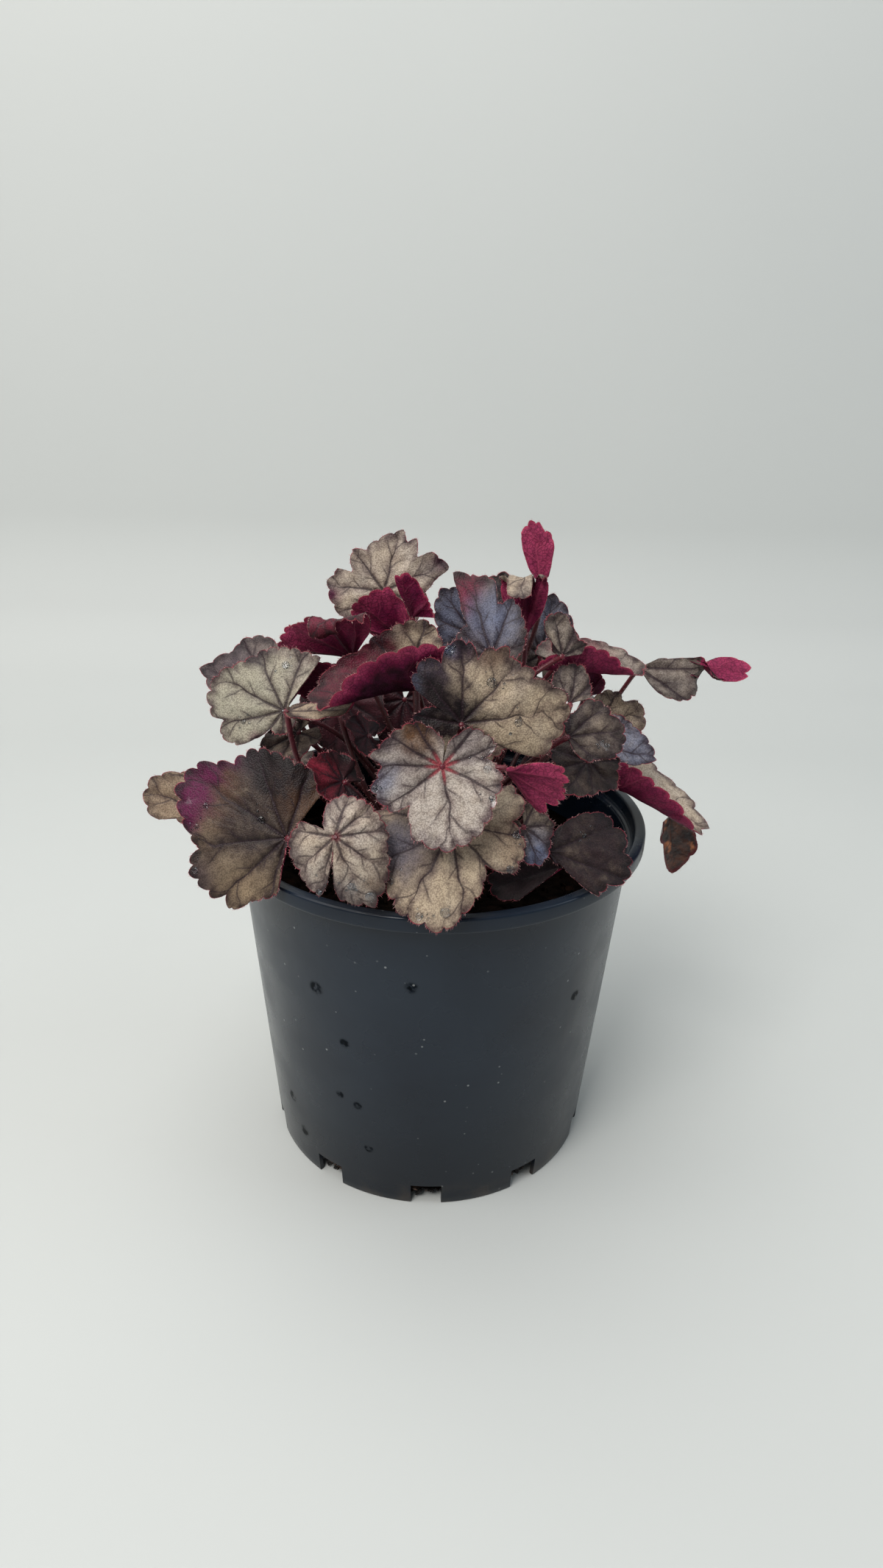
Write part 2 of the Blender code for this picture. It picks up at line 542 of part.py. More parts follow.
def blade(leaf, collection):
    """The blade as an open sheet in triangles, thickened."""
    bm = bmesh.new()
    joint = bm.verts.new((0.0, 0.0, 0.0))
    rows = []
    for outward, count in blade_rings(leaf):
        around = np.linspace(0.0, 1.0, count + 1)
        row = blade_points(leaf, around, np.full_like(around, outward))
        rows.append([bm.verts.new(point) for point in row])
    for left, right in zip(rows[0], rows[0][1:]):
        bm.faces.new((joint, left, right))
    for inner, outer in zip(rows, rows[1:]):
        stitch(bm, inner, outer)
    made = object_from(bm, leaf["name"], collection)
    thicken = made.modifiers.new("Thickness", "SOLIDIFY")
    thicken.thickness = BLADE_THICKNESS
    thicken.offset = -1.0
    apply_modifiers(made)
    return made


def stalk_route(leaf):
    """Points along the stalk, from just off the crown's surface to just inside the blade."""
    side, height, leave, arrive, under = leaf["stalk"]
    side = math.radians(side)
    height = math.radians(height)
    rise = Vector((
        math.cos(height) * math.cos(side), math.cos(height) * math.sin(side), math.sin(height)
    ))
    root = CROWN_CENTRE + rise * (CROWN_RADIUS + CLEAR)
    joint = Vector(leaf["joint"]) * MM
    _, axes = leaf_axes(leaf)
    back = (-(1.0 - under) * axes[0] - under * axes[2]).normalized()
    span = (joint - root).length
    first = root + rise * span * leave
    last = joint + back * span * arrive
    route = []
    for step in range(STALK_POINTS):
        t = step / (STALK_POINTS - 1)
        route.append(
            (1 - t) ** 3 * root + 3 * (1 - t) ** 2 * t * first
            + 3 * (1 - t) * t * t * last + t ** 3 * joint
        )
    return route


def stalk(leaf, collection):
    curve = bpy.data.curves.new(leaf["name"] + "_stalk", "CURVE")
    curve.dimensions = "3D"
    curve.bevel_depth = STALK_RADIUS
    curve.bevel_resolution = 0
    curve.use_fill_caps = True
    route = stalk_route(leaf)
    spline = curve.splines.new("POLY")
    spline.points.add(len(route) - 1)
    for point, place in zip(spline.points, route):
        point.co = (*(place - Vector(leaf["joint"]) * MM), 1.0)
    line = bpy.data.objects.new(curve.name, curve)
    collection.objects.link(line)
    bpy.context.view_layer.update()
    mesh = bpy.data.meshes.new_from_object(
        line.evaluated_get(bpy.context.evaluated_depsgraph_get())
    )
    bm = bmesh.new()
    bm.from_mesh(mesh)
    bmesh.ops.remove_doubles(bm, verts=bm.verts, dist=0.00001)
    bmesh.ops.recalc_face_normals(bm, faces=bm.faces)
    bpy.data.objects.remove(line, do_unlink=True)
    bpy.data.meshes.remove(mesh)
    return object_from(bm, leaf["name"] + "_stalk", collection)


def leaf_object(leaf, colour, collection):
    """One leaf: its blade and its stalk, joined, with the joint as its origin."""
    made = blade(leaf, collection)
    stem = stalk(leaf, collection)
    join = made.modifiers.new("Join stalk", "BOOLEAN")
    join.operation = "UNION"
    join.solver = "MANIFOLD"
    join.object = stem
    apply_modifiers(made)
    bpy.data.objects.remove(stem, do_unlink=True)
    made.location = Vector(leaf["joint"]) * MM
    made.data.materials.clear()
    made.data.materials.append(colour)
    shade_smooth(made)
    return made


def inner_radius(height):
    """The pot's inner radius at a height below its ledge."""
    share = height / (POT_HEIGHT - RIM_SKIRT)
    return BASE_RADIUS + (BODY_TOP_RADIUS - BASE_RADIUS) * share - WALL


def pot(collection):
    ledge = POT_HEIGHT - RIM_LEDGE
    skirt = POT_HEIGHT - RIM_SKIRT
    shoulder = inner_radius(ledge) + 2.3 * MM
    profile = (
        (0.0, FLOOR_TOP),
        (inner_radius(FLOOR_TOP), FLOOR_TOP),
        (inner_radius(ledge), ledge - 0.6 * MM),
        (shoulder, ledge),
        (shoulder + 0.2 * MM, POT_HEIGHT),
        (RIM_RADIUS - 0.5 * MM, POT_HEIGHT),
        (RIM_RADIUS, POT_HEIGHT - 0.5 * MM),
        (RIM_RADIUS, skirt),
        (RIM_RADIUS - 1.1 * MM, skirt),
        (RIM_RADIUS - 1.1 * MM, POT_HEIGHT - 1.3 * MM),
        (shoulder + WALL, POT_HEIGHT - 1.3 * MM),
        (shoulder + WALL - 0.2 * MM, ledge - 0.6 * MM),
        (BODY_TOP_RADIUS, skirt - 0.6 * MM),
        (BASE_RADIUS, 0.0),
        (BASE_RADIUS - 1.6 * MM, 0.0),
        (BASE_RADIUS - 1.8 * MM, FLOOR_UNDERSIDE),
        (0.0, FLOOR_UNDERSIDE),
    )
    made = turned("pot", profile, POT_STEPS, collection)
    cutters = new_collection("notch_cutters")
    cutters.hide_render = True
    for index in range(NOTCHES):
        turn = math.radians(-90.0 + 360.0 * index / NOTCHES)
        bm = bmesh.new()
        bmesh.ops.create_cube(bm, size=1.0)
        bmesh.ops.scale(bm, vec=(5.0 * MM, NOTCH_WIDTH, 2.0 * NOTCH_HEIGHT), verts=bm.verts)
        bmesh.ops.translate(bm, vec=(BASE_RADIUS - 1.0 * MM, 0.0, 0.0), verts=bm.verts)
        bmesh.ops.rotate(
            bm, cent=(0.0, 0.0, 0.0), matrix=Matrix.Rotation(turn, 3, "Z"), verts=bm.verts
        )
        cutter = object_from(bm, f"notch_cutter_{index + 1}", cutters)
        cutter.display_type = "WIRE"
        cutter.hide_render = True
    cut = made.modifiers.new("Drainage notches", "BOOLEAN")
    cut.operation = "DIFFERENCE"
    cut.solver = "MANIFOLD"
    cut.operand_type = "COLLECTION"
    cut.collection = cutters
    apply_modifiers(made)
    for cutter in list(cutters.objects):
        bpy.data.objects.remove(cutter, do_unlink=True)
    bpy.data.collections.remove(cutters)
    made.data.materials.append(material("pot_plastic", (0.045, 0.052, 0.058), 0.42))
    shade_smooth(made)
    return made


def potting_mix(collection):
    """The mix fills the pot, with a plain hole for the crown and a crumbly top."""
    hole = CROWN_RADIUS + CLEAR
    bottom = FLOOR_TOP + CLEAR
    profile = [
        (0.0, CROWN_CENTRE.z - hole),
        (hole, CROWN_CENTRE.z - hole),
        (hole, SOIL_TOP),
    ]
    profile += [(radius * MM, SOIL_TOP) for radius in (16, 22, 29, 36, 43, 50, 57)]
    profile += [
        (inner_radius(SOIL_TOP) - CLEAR, SOIL_TOP),
        (inner_radius(bottom) - CLEAR, bottom),
        (0.0, bottom),
    ]
    made = turned("potting_mix", profile, SOIL_STEPS, collection)
    apply_modifiers(made)
    for vertex in made.data.vertices:
        radius = vertex.co.xy.length
        if abs(vertex.co.z - SOIL_TOP) < 1e-6 and radius > hole + 2.0 * MM:
            bump = noise.noise(Vector((vertex.co.x, vertex.co.y, 0.0)) * 130.0)
            vertex.co.z += SOIL_ROUGHNESS * bump
    made.data.materials.append(material("potting_mix", (0.030, 0.020, 0.014), 0.95))
    return made


def crown(collection):
    """The short woody crown that every stalk rises from, a knobbly ball sunk in the mix."""
    bm = bmesh.new()
    bmesh.ops.create_icosphere(bm, subdivisions=3, radius=CROWN_RADIUS)
    for vertex in bm.verts:
        knob = 0.5 + 0.5 * noise.noise(vertex.co * 420.0)
        vertex.co *= 1.0 - 0.03 * knob
    made = object_from(bm, "crown", collection)
    made.location = CROWN_CENTRE
    made.data.materials.append(material("crown_bark", (0.085, 0.045, 0.030), 0.9))
    shade_smooth(made, math.radians(60))
    return made


def main():
    clear_scene()
    collection = new_collection("heuchera_in_nursery_pot")
    root = bpy.data.objects.new("heuchera_in_nursery_pot", None)
    root.location = TO_CENTRE
    collection.objects.link(root)
    colours = {
        "tan": material("leaf_tan", TAN_LEAF, 0.45),
        "wine": material("leaf_wine", WINE_LEAF, 0.45),
        "dry": material("leaf_dry", DRY_LEAF, 0.8),
    }
    made = [pot(collection), potting_mix(collection), crown(collection)]
    for leaf in LEAVES:
        colour = colours[leaf.get("colour", "tan")]
        made.append(leaf_object(leaf, colour, collection))
    for item in made:
        item.parent = root


main()
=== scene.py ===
import math

import bpy
import numpy as np
from mathutils import Matrix, Vector


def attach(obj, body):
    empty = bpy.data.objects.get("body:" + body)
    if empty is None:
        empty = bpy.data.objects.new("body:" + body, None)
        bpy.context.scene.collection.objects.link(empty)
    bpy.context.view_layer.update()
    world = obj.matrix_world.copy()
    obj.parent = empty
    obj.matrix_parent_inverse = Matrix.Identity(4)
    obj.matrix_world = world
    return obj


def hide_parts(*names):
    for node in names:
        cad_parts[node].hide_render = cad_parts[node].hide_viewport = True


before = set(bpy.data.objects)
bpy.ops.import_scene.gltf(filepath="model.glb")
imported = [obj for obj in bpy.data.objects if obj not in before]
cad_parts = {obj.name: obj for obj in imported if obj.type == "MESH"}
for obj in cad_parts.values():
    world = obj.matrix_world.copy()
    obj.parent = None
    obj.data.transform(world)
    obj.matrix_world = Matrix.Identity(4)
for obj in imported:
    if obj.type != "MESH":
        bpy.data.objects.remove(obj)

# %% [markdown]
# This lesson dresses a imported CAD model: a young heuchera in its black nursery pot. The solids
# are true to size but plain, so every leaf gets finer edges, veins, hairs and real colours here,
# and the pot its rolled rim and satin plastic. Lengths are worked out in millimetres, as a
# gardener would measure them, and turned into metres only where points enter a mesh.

MM = 0.001
CENTRE = np.array((-6.3, -1.15, 0.0))
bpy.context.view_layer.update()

# %% [markdown]
# The camera stands where the photograph was taken, a little above the plant and looking down at
# it. Its distance and tilt follow from the ellipses that the pot's rim and foot make in the
# photograph. A camera could be aimed with a constraint, but writing its matrix keeps every
# number in sight.

# %% Camera
CAMERA_AIM = np.array((1.9, 0.0, 128.9))
CAMERA_DISTANCE = 356.6
CAMERA_TILT = math.radians(24.11)
CAMERA_ROLL = math.radians(1.38)
CAMERA_LENS = 24.59

ahead = np.array((0.0, math.cos(CAMERA_TILT), -math.sin(CAMERA_TILT)))
level = np.array((1.0, 0.0, 0.0))
overhead = np.array((0.0, math.sin(CAMERA_TILT), math.cos(CAMERA_TILT)))
right = math.cos(CAMERA_ROLL) * level + math.sin(CAMERA_ROLL) * overhead
upward = math.cos(CAMERA_ROLL) * overhead - math.sin(CAMERA_ROLL) * level
stand = CAMERA_AIM + CENTRE - CAMERA_DISTANCE * ahead

camera = bpy.data.objects.new("camera", bpy.data.cameras.new("camera"))
bpy.context.scene.collection.objects.link(camera)
camera.data.lens = CAMERA_LENS
camera.data.sensor_width = 36.0
camera.data.clip_start = 0.01
facing = Matrix((right, upward, -ahead)).transposed().to_4x4()
camera.matrix_world = Matrix.Translation(Vector(stand * MM)) @ facing
bpy.context.scene.camera = camera
print("camera at", [round(float(v)) for v in stand], "mm")

# %% [markdown]
# A heuchera leaf is a round, lobed blade on a long stalk. Each row below is one leaf: where the
# stalk meets the blade, where the middle lobe ends, which way the upper side looks, and its
# outline as (angle, reach) pairs measured from the joint, with the reach as a share of the
# leaf's length. Curls and folds are given as bends, each rolling what lies beyond a line across
# the blade. A table keeps the plant readable, and one formula turns a row into a leaf.

# %% The leaves in the photograph
REGULAR = (
    (-160, 0.5), (-130, 0.72), (-105, 0.66), (-75, 0.86), (-48, 0.76), (0, 1),
    (48, 0.76), (75, 0.86), (105, 0.66), (130, 0.72), (160, 0.5),
)
SEEN_LEAVES = (
    dict(
        name="leaf_front_centre", joint=(2, -64, 162.5), tip=(4.5, -72.5, 141.5),
        face=(0.05, -0.93, 0.38),
        teeth=27, cup=0.08, stalk=(-79, 53, 0.4, 0.24, 0.88),
        lobes=((-190, 0.28), (-153, 0.63), (-117, 0.76), (-103, 0.87), (-95, 0.71), (-77, 0.89),
        (-54, 0.81), (-45, 0.61), (-28, 0.91), (-3, 1), (19, 0.93), (54, 0.74), (75, 0.74),
        (97, 0.54), (107, 0.7), (138, 0.59), (162, 0.28)),
    ),
    dict(
        name="leaf_front_low", joint=(5, -61.5, 143.5), tip=(3, -80.5, 122),
        face=(0.05, -0.85, 0.55),
        teeth=25, cup=-0.2, stalk=(-87, 40, 0.18, 0.24, 0.86),
        lobes=((-135, 0.27), (-116, 0.53), (-97, 0.78), (-80, 0.69), (-46, 0.83), (-25, 0.96),
        (-12, 0.97), (0, 1.01), (15, 0.83), (34, 0.65), (48, 0.5), (59, 0.75), (82, 0.76),
        (103, 0.63), (115, 0.8), (133, 0.77), (149, 0.31)),
    ),
    dict(
        name="leaf_front_small", joint=(-26, -72, 145), tip=(-22, -67.5, 155.5),
        face=(-0.1, -0.9, 0.45),
        teeth=27, cup=-0.25, stalk=(-121, 29, 0.47, 0.46, 0.87),
        lobes=((-167, 0.38), (-164, 1.12), (-159, 1.44), (-134, 1.77), (-101, 1.35), (-80, 1.14),
        (-68, 1.16), (-43, 1.06), (-24, 1.03), (13, 0.95), (37, 0.77), (55, 0.5), (80, 0.29),
        (83, 0.54), (88, 0.92), (121, 1.18), (153, 1.21), (182, 1.46), (188, 1.11), (191, 0.47)),
    ),
    dict(
        name="leaf_left_large", joint=(-42, -53, 134.5), tip=(-73.5, -45, 146),
        face=(-0.35, -0.8, 0.45),
        teeth=25, cup=-0.12, wave=0.02, stalk=(-135, 27, 0.5, 0.13, 0.65),
        lobes=((-106, 0.16), (-103, 0.64), (-94, 0.63), (-71, 0.64), (-45, 0.81), (-27, 0.81),
        (-14, 1.01), (-8, 1.06), (3, 1.08), (18, 0.92), (30, 0.8), (44, 0.93), (52, 0.89),
        (63, 0.85), (67, 0.77), (75, 0.82), (87, 0.6), (104, 0.49), (107, 0.21), (110, 0.09)),
    ),
    dict(
        name="leaf_left_far", joint=(-71.5, -20, 127), tip=(-93.5, -16, 130),
        face=(-0.3, -0.85, 0.4),
        teeth=10, stalk=(-165, 25, 0.26, 0.21, 0.37),
        lobes=((-71, 0.41), (-37, 0.71), (-16, 0.96), (0, 1), (14, 0.91), (24, 0.75), (27, 0.5),
        (90, 0.26)),
    ),
    dict(
        name="leaf_left_upper", joint=(-45.5, -27, 163.5), tip=(-71, -19, 166),
        face=(-0.3, -0.85, 0.4),
        teeth=24, cup=-0.1, stalk=(-151, 58, 0.35, 0.37, 0.4),
        lobes=((-116, 0.22), (-113, 0.72), (-90, 0.71), (-71, 0.73), (-53, 0.75), (-44, 0.74),
        (-29, 0.81), (-12, 0.99), (1, 0.99), (16, 0.9), (19, 0.78), (32, 0.84), (46, 0.7),
        (55, 0.48), (64, 0.25), (83, 0.28), (122, 0.25), (157, 0.19)),
    ),
    dict(
        name="leaf_left_back", joint=(-56, 4, 162), tip=(-79.5, 12, 165.5),
        face=(-0.2, -0.8, 0.55),
        teeth=14, cup=-0.05, stalk=(183, 33, 0.2, 0.14, 0.9),
        lobes=((-118, 0.27), (-101, 0.49), (-68, 0.63), (-37, 0.7), (-25, 0.64), (-4, 0.85),
        (4, 0.97), (11, 0.88), (37, 0.64), (110, 0.35)),
    ),
    dict(
        name="leaf_top_back", joint=(-18.5, 22, 188), tip=(-14.5, 28, 207), face=(0, -0.95, 0.3),
        teeth=17, tooth=0.05, cup=-0.03, stalk=(145, 57, 0.35, 0.1, 0.43),
        lobes=((-128, 0.72), (-76, 0.7), (-66, 0.83), (-58, 1.13), (-47, 1.09), (-37, 0.99),
        (-33, 0.77), (-19, 1.01), (-12, 0.9), (-5, 1.04), (14, 0.88), (38, 0.74), (50, 0.87),
        (72, 0.6), (76, 0.83), (93, 0.95), (110, 0.9), (150, 0.76)),
    ),
    dict(
        name="leaf_fan_left", joint=(-25.5, -14, 177), tip=(-39, -22, 191), face=(0.3, 0.8, 0.5),
        teeth=16, wave=0.04, waves=9, bends=((18, 0.84, 0.12, -265),),
        stalk=(-140, 75, 0.4, 0.14, 0.29), colour="wine",
        lobes=((-71, 0.5), (-60, 1.1), (-52, 1.14), (-25, 1.02), (-4, 1), (7, 0.95), (10, 1.25),
        (18, 1.38), (27, 1.3), (31, 1), (42, 1.15), (50, 1.3), (63, 0.75)),
    ),
    dict(
        name="leaf_roll_top", joint=(-11, -8, 181), tip=(-19, -12, 196.5), face=(0.1, 0.85, 0.5),
        teeth=12, wave=0.05, waves=5, bends=((80, 0.3, 0.35, -70),),
        stalk=(-273, 71, 0.4, 0.26, 0.37), colour="wine",
        lobes=((-77, 0.37), (-60, 0.69), (-40, 1), (-24, 1.05), (-7, 1.04), (12, 1), (21, 0.82),
        (47, 0.54), (88, 0.26)),
    ),
    dict(
        name="leaf_roll_inner", joint=(-8.5, 4.5, 184.5), tip=(-10, 4.5, 198.5),
        face=(0, 0.9, 0.4),
        teeth=8, stalk=(176, 78, 0.34, 0.19, 0.15), colour="wine",
        lobes=((-27, 0.26), (-24, 0.52), (-21, 0.87), (-18, 1.01), (0, 1), (14, 0.8), (29, 0.61),
        (67, 0.47), (97, 0.51)),
    ),
    dict(
        name="leaf_taco_left", joint=(-7, -35, 179), tip=(-36.5, -41, 173), face=(0, -0.45, 0.9),
        teeth=21, bends=((90, 0.1, 0.2, 100), (-90, 0.05, 0.3, 45),),
        stalk=(-103, 22, 0.5, 0.19, 0.81), colour="wine",
        lobes=((-150, 0.4), (-120, 0.55), (-75, 0.5), (-40, 0.55), (0, 1), (30, 0.9), (60, 0.85),
        (90, 0.8), (120, 0.75), (150, 0.55)),
    ),
    dict(
        name="leaf_edge_left", joint=(-43.5, -33.5, 166), tip=(-20, -39.5, 169.5),
        face=(0, -0.15, 0.98),
        teeth=11, bends=((0, 0.7, 0.2, 75),), stalk=(-160, 42, 0.32, 0.52, 0.88),
        lobes=((-75, 0.12), (-40, 0.32), (-12, 0.85), (0, 1), (12, 0.85), (40, 0.32), (75, 0.12)),
    ),
    dict(
        name="leaf_crinkle_inner", joint=(-20.5, -25, 155.5), tip=(-27, -30, 160.5),
        face=(0, -0.6, 0.8),
        wave=0.12, waves=5, stalk=(-175, 64, 0.31, 0.19, 0.33), colour="wine",
    ),
    dict(
        name="leaf_red_young", joint=(-26, -47, 150), tip=(-35.5, -53, 157),
        face=(-0.1, -0.6, 0.8),
        wave=0.1, waves=6, width=0.9, stalk=(-111, 37, 0.42, 0.23, 0.26), colour="wine",
    ),
    dict(
        name="leaf_right_large", joint=(7, -52.5, 170.5), tip=(8, -48.5, 193),
        face=(0.1, -0.85, 0.5),
        teeth=27, cup=-0.08, wave=0.02, stalk=(-74, 64, 0.52, 0.28, 0.58),
        lobes=((-143, 0.59), (-117, 0.63), (-112, 1.11), (-104, 1.16), (-87, 1.32), (-78, 1.37),
        (-69, 1.29), (-56, 1.06), (-52, 1.09), (-37, 0.99), (-28, 1.07), (-14, 0.93), (-11, 0.82),
        (-2, 0.99), (12, 1), (22, 0.81), (33, 0.92), (51, 0.82), (57, 0.73), (60, 0.34),
        (63, 0.43), (84, 0.59), (108, 0.68), (155, 0.5)),
    ),
    dict(
        name="leaf_upper_mid", joint=(16, -19.5, 180), tip=(13.5, -7.5, 202),
        face=(-0.05, -0.9, 0.4),
        teeth=18, cup=-0.08, stalk=(-39, 67, 0.53, 0.27, 0.5),
        lobes=((-119, 0.21), (-71, 0.44), (-45, 0.58), (-25, 0.74), (-10, 0.62), (-7, 0.92),
        (-2, 1), (5, 0.96), (9, 1.05), (21, 1.14), (24, 0.83), (34, 0.48), (55, 0.49),
        (114, 0.28)),
    ),
    dict(
        name="leaf_upper_back", joint=(19, 19, 178.5), tip=(21, 27, 194.5), face=(0, -0.9, 0.4),
        width=0.9, stalk=(45, 64, 0.25, 0.16, 0.34),
    ),
    dict(
        name="leaf_upright_tip", joint=(32.5, 12, 193), tip=(29, 14, 214), face=(0.25, 0.9, 0.15),
        teeth=8, tooth=0.04, stalk=(13, 67, 0.5, 0.13, 0.15), colour="wine",
        lobes=((-33, 0.25), (-23, 0.57), (-15, 0.87), (-4, 1), (4, 0.96), (7, 0.87), (16, 0.8),
        (23, 0.64), (28, 0.39), (35, 0.19)),
    ),
    dict(
        name="leaf_upright_fold", joint=(27, -2.5, 182.5), tip=(24.5, 1.5, 211),
        face=(0.2, 0.9, 0.2),
        teeth=8, bends=((0, 0.5, 0.1, -140),), stalk=(-19, 60, 0.43, 0.32, 0.3), colour="wine",
        lobes=((-50, 0.12), (-17, 0.75), (-16, 0.5), (-8, 0.93), (0, 1), (8, 0.95), (13, 0.5),
        (16, 0.8), (50, 0.12)),
    ),
    dict(
        name="leaf_behind_right", joint=(33.5, 13, 170.5), tip=(37, 19, 189.5),
        face=(0.1, -0.9, 0.35),
        width=0.8, stalk=(52, 34, 0.34, 0.33, 0.23),
    ),
    dict(
        name="leaf_split_right", joint=(38, -5, 173.5), tip=(66, -3, 172), face=(0, -0.5, 0.85),
        teeth=21, bends=((-90, 0.04, 0.18, 105),), stalk=(0, 55, 0.36, 0.31, 0.63),
        lobes=((-150, 0.4), (-110, 0.5), (-70, 0.65), (-30, 0.75), (0, 1), (25, 0.7), (45, 0.52),
        (80, 0.42), (120, 0.35), (160, 0.3)),
    ),
    dict(
        name="leaf_crinkle_right", joint=(37, -19.5, 180), tip=(33.5, -17.5, 192.5),
        face=(0.1, -0.8, 0.5),
        teeth=11, wave=0.06, waves=5, stalk=(-120, 54, 0.58, 0.1, 0.88),
        lobes=((-99, 0.46), (-80, 0.65), (-52, 0.51), (-30, 0.75), (-16, 1), (2, 1.02), (15, 0.98),
        (22, 0.75), (25, 0.43), (55, 0.24)),
    ),
    dict(
        name="leaf_twist_far", joint=(67.5, 20, 164.5), tip=(106.5, 24, 163.5),
        face=(0.05, -0.75, 0.65),
        teeth=11, tooth=0.05, twist=(0.46, 0.68, 178), stalk=(30, 13, 0.43, 0.12, 0.85),
        lobes=((-62, 0.22), (-48, 0.38), (-36, 0.5), (-24, 0.55), (-14, 0.57), (-10, 0.64),
        (-8.5, 0.82), (-6, 0.94), (-1, 1), (4, 0.97), (8, 0.86), (9.2, 0.74), (10.5, 0.6),
        (13, 0.42), (18, 0.28), (26, 0.2)),
    ),
    dict(
        name="leaf_mid_right", joint=(40, -22, 166.5), tip=(41.5, -15.5, 176.5),
        face=(0.1, -0.8, 0.5),
        teeth=8, stalk=(-48, 43, 0.35, 0.27, 0.39),
        lobes=((-69, 0.49), (-33, 0.78), (-8, 1.04), (24, 0.98), (63, 0.62)),
    ),
    dict(
        name="leaf_maroon_right", joint=(47, -3.5, 162), tip=(51, -1.5, 170), face=(0.1, 0.8, 0.5),
        teeth=6, stalk=(-15, 46, 0.58, 0.15, 0.1), colour="wine",
        lobes=((-66, 0.6), (-44, 1.16), (-25, 1.12), (-4, 0.97), (29, 0.83), (53, 0.58)),
    ),
    dict(
        name="leaf_tan_right", joint=(53, 2, 150.5), tip=(66, 6, 157), face=(0.2, -0.85, 0.45),
        teeth=12, stalk=(33, 38, 0.48, 0.45, 0.51),
        lobes=((-74, 0.81), (-29, 1.01), (-16, 1.05), (3, 1.03), (14, 0.74), (29, 0.85),
        (52, 0.77), (92, 0.47), (151, 0.57)),
    ),
    dict(
        name="leaf_blue_right", joint=(52, -9.5, 147.5), tip=(70, -7.5, 146),
        face=(0.3, -0.7, 0.6),
        teeth=12, stalk=(-31, 35, 0.52, 0.23, 0.28),
        lobes=((-75, 0.48), (-34, 0.55), (-10, 1.05), (6, 0.94), (28, 0.78), (61, 0.73),
        (89, 0.48)),
    ),
    dict(
        name="leaf_round_right", joint=(38, -40, 162.5), tip=(55, -38, 163.5),
        face=(0.1, -0.8, 0.6),
        teeth=16, cup=-0.1, stalk=(-53, 57, 0.27, 0.16, 0.62),
        lobes=((-85, 0.12), (-71, 0.35), (-57, 0.55), (-41, 0.63), (-28, 0.87), (-6, 0.99),
        (12, 1), (23, 0.88), (44, 0.89), (59, 0.76), (68, 0.49), (110, 0.23)),
    ),
    dict(
        name="leaf_under_right", joint=(45.5, -30, 151), tip=(38.5, -38, 143.5),
        face=(0, -0.7, 0.7),
        width=1.1, stalk=(4, 36, 0.21, 0.29, 0.92),
    ),
    dict(
        name="leaf_ruffle_pink", joint=(19.5, -62, 161.5), tip=(35, -64, 155.5),
        face=(0.2, 0.75, 0.5),
        teeth=12, tooth=0.1, wave=0.04, waves=7, phase=1, stalk=(-87, 22, 0.46, 0.33, 0.2),
        colour="wine",
        lobes=((-80, 0.16), (-66, 0.24), (-52, 0.5), (-44, 0.95), (-26, 1.04), (-12, 0.9),
        (4, 1.06), (20, 1.08), (28, 0.98), (38, 1.2), (46, 1.1), (50, 0.6), (62, 0.2)),
    ),
    dict(
        name="leaf_taco_right", joint=(52.5, -4, 138.5), tip=(91, -8, 118.5),
        face=(0.3, -0.3, 0.85),
        teeth=19, bends=((-90, 0.06, 0.2, 100),), stalk=(11, 16, 0.4, 0.43, 0.67),
        lobes=((-112, 0.3), (-80, 0.5), (-50, 0.6), (-25, 0.8), (0, 1), (14, 0.85), (30, 0.62),
        (60, 0.5), (90, 0.4), (118, 0.28)),
    ),
    dict(
        name="leaf_dead", joint=(82.5, 12, 113.5), tip=(84.5, 10, 91), face=(0.5, -0.8, 0.1),
        teeth=8, wave=0.05, fold=0.3, stalk=(28, 24, 0.47, 0.4, 0.24), colour="dry",
        lobes=((-86, 0.25), (-18, 0.49), (-4, 0.92), (0, 1.02), (13, 0.86), (37, 0.71), (52, 0.5),
        (86, 0.2)),
    ),
    dict(
        name="leaf_low_right", joint=(33.5, -52, 131.5), tip=(59, -48, 127),
        face=(0.1, -0.75, 0.65),
        teeth=16, cup=-0.1, stalk=(-73, 30, 0.35, 0.5, 0.18),
        lobes=((-72, 0.12), (-45, 0.17), (-42, 0.46), (-36, 0.74), (-23, 0.77), (-14, 0.98),
        (1, 1.02), (9, 0.92), (17, 1.03), (28, 0.9), (37, 0.9), (49, 0.69), (66, 0.38),
        (86, 0.19)),
    ),
    dict(
        name="leaf_blue_small", joint=(25.5, -54.5, 140.5), tip=(30.5, -59.5, 131),
        face=(0.2, -0.8, 0.55),
        width=0.9, stalk=(-65, 42, 0.15, 0.27, 0.91),
    ),
    dict(
        name="leaf_inside_low", joint=(38, -50, 126.5), tip=(17, -56, 120.5),
        face=(-0.1, -0.7, 0.7),
        teeth=12, stalk=(-47, 15, 0.34, 0.29, 0.05),
        lobes=((-90, 0.12), (-27, 0.62), (-13, 1), (5, 1.02), (18, 0.79), (21, 0.32), (24, 0.09)),
    ),
    dict(
        name="leaf_stem_left", joint=(-42.5, -20, 154), tip=(-54.5, -22, 147.5),
        face=(-0.2, -0.6, 0.75),
        width=0.8, stalk=(-176, 50, 0.5, 0.27, 0.88),
    ),
    dict(
        name="leaf_fold_left", joint=(-33.5, -15, 169), tip=(-45.5, -17, 167.5),
        face=(0.3, 0.7, 0.4),
        width=0.9, stalk=(-125, 40, 0.58, 0.35, 0.86), colour="wine",
    ),
    dict(
        name="leaf_blue_left", joint=(11, -0.5, 180.5), tip=(0, 3.5, 194), face=(-0.1, -0.9, 0.3),
        width=0.8, stalk=(29, 78, 0.54, 0.41, 0.34),
    ),
)
print(len(SEEN_LEAVES), "leaves that the photograph shows")

# %% [markdown]
# The photograph hides the far side, but a plant grows all round. Ten leaves like those at the
# front fill it, and two more stand inside, where the camera would else see through the plant.
# The ten share one form, so a row holds only joint, tip, the way the upper side looks, and stalk.

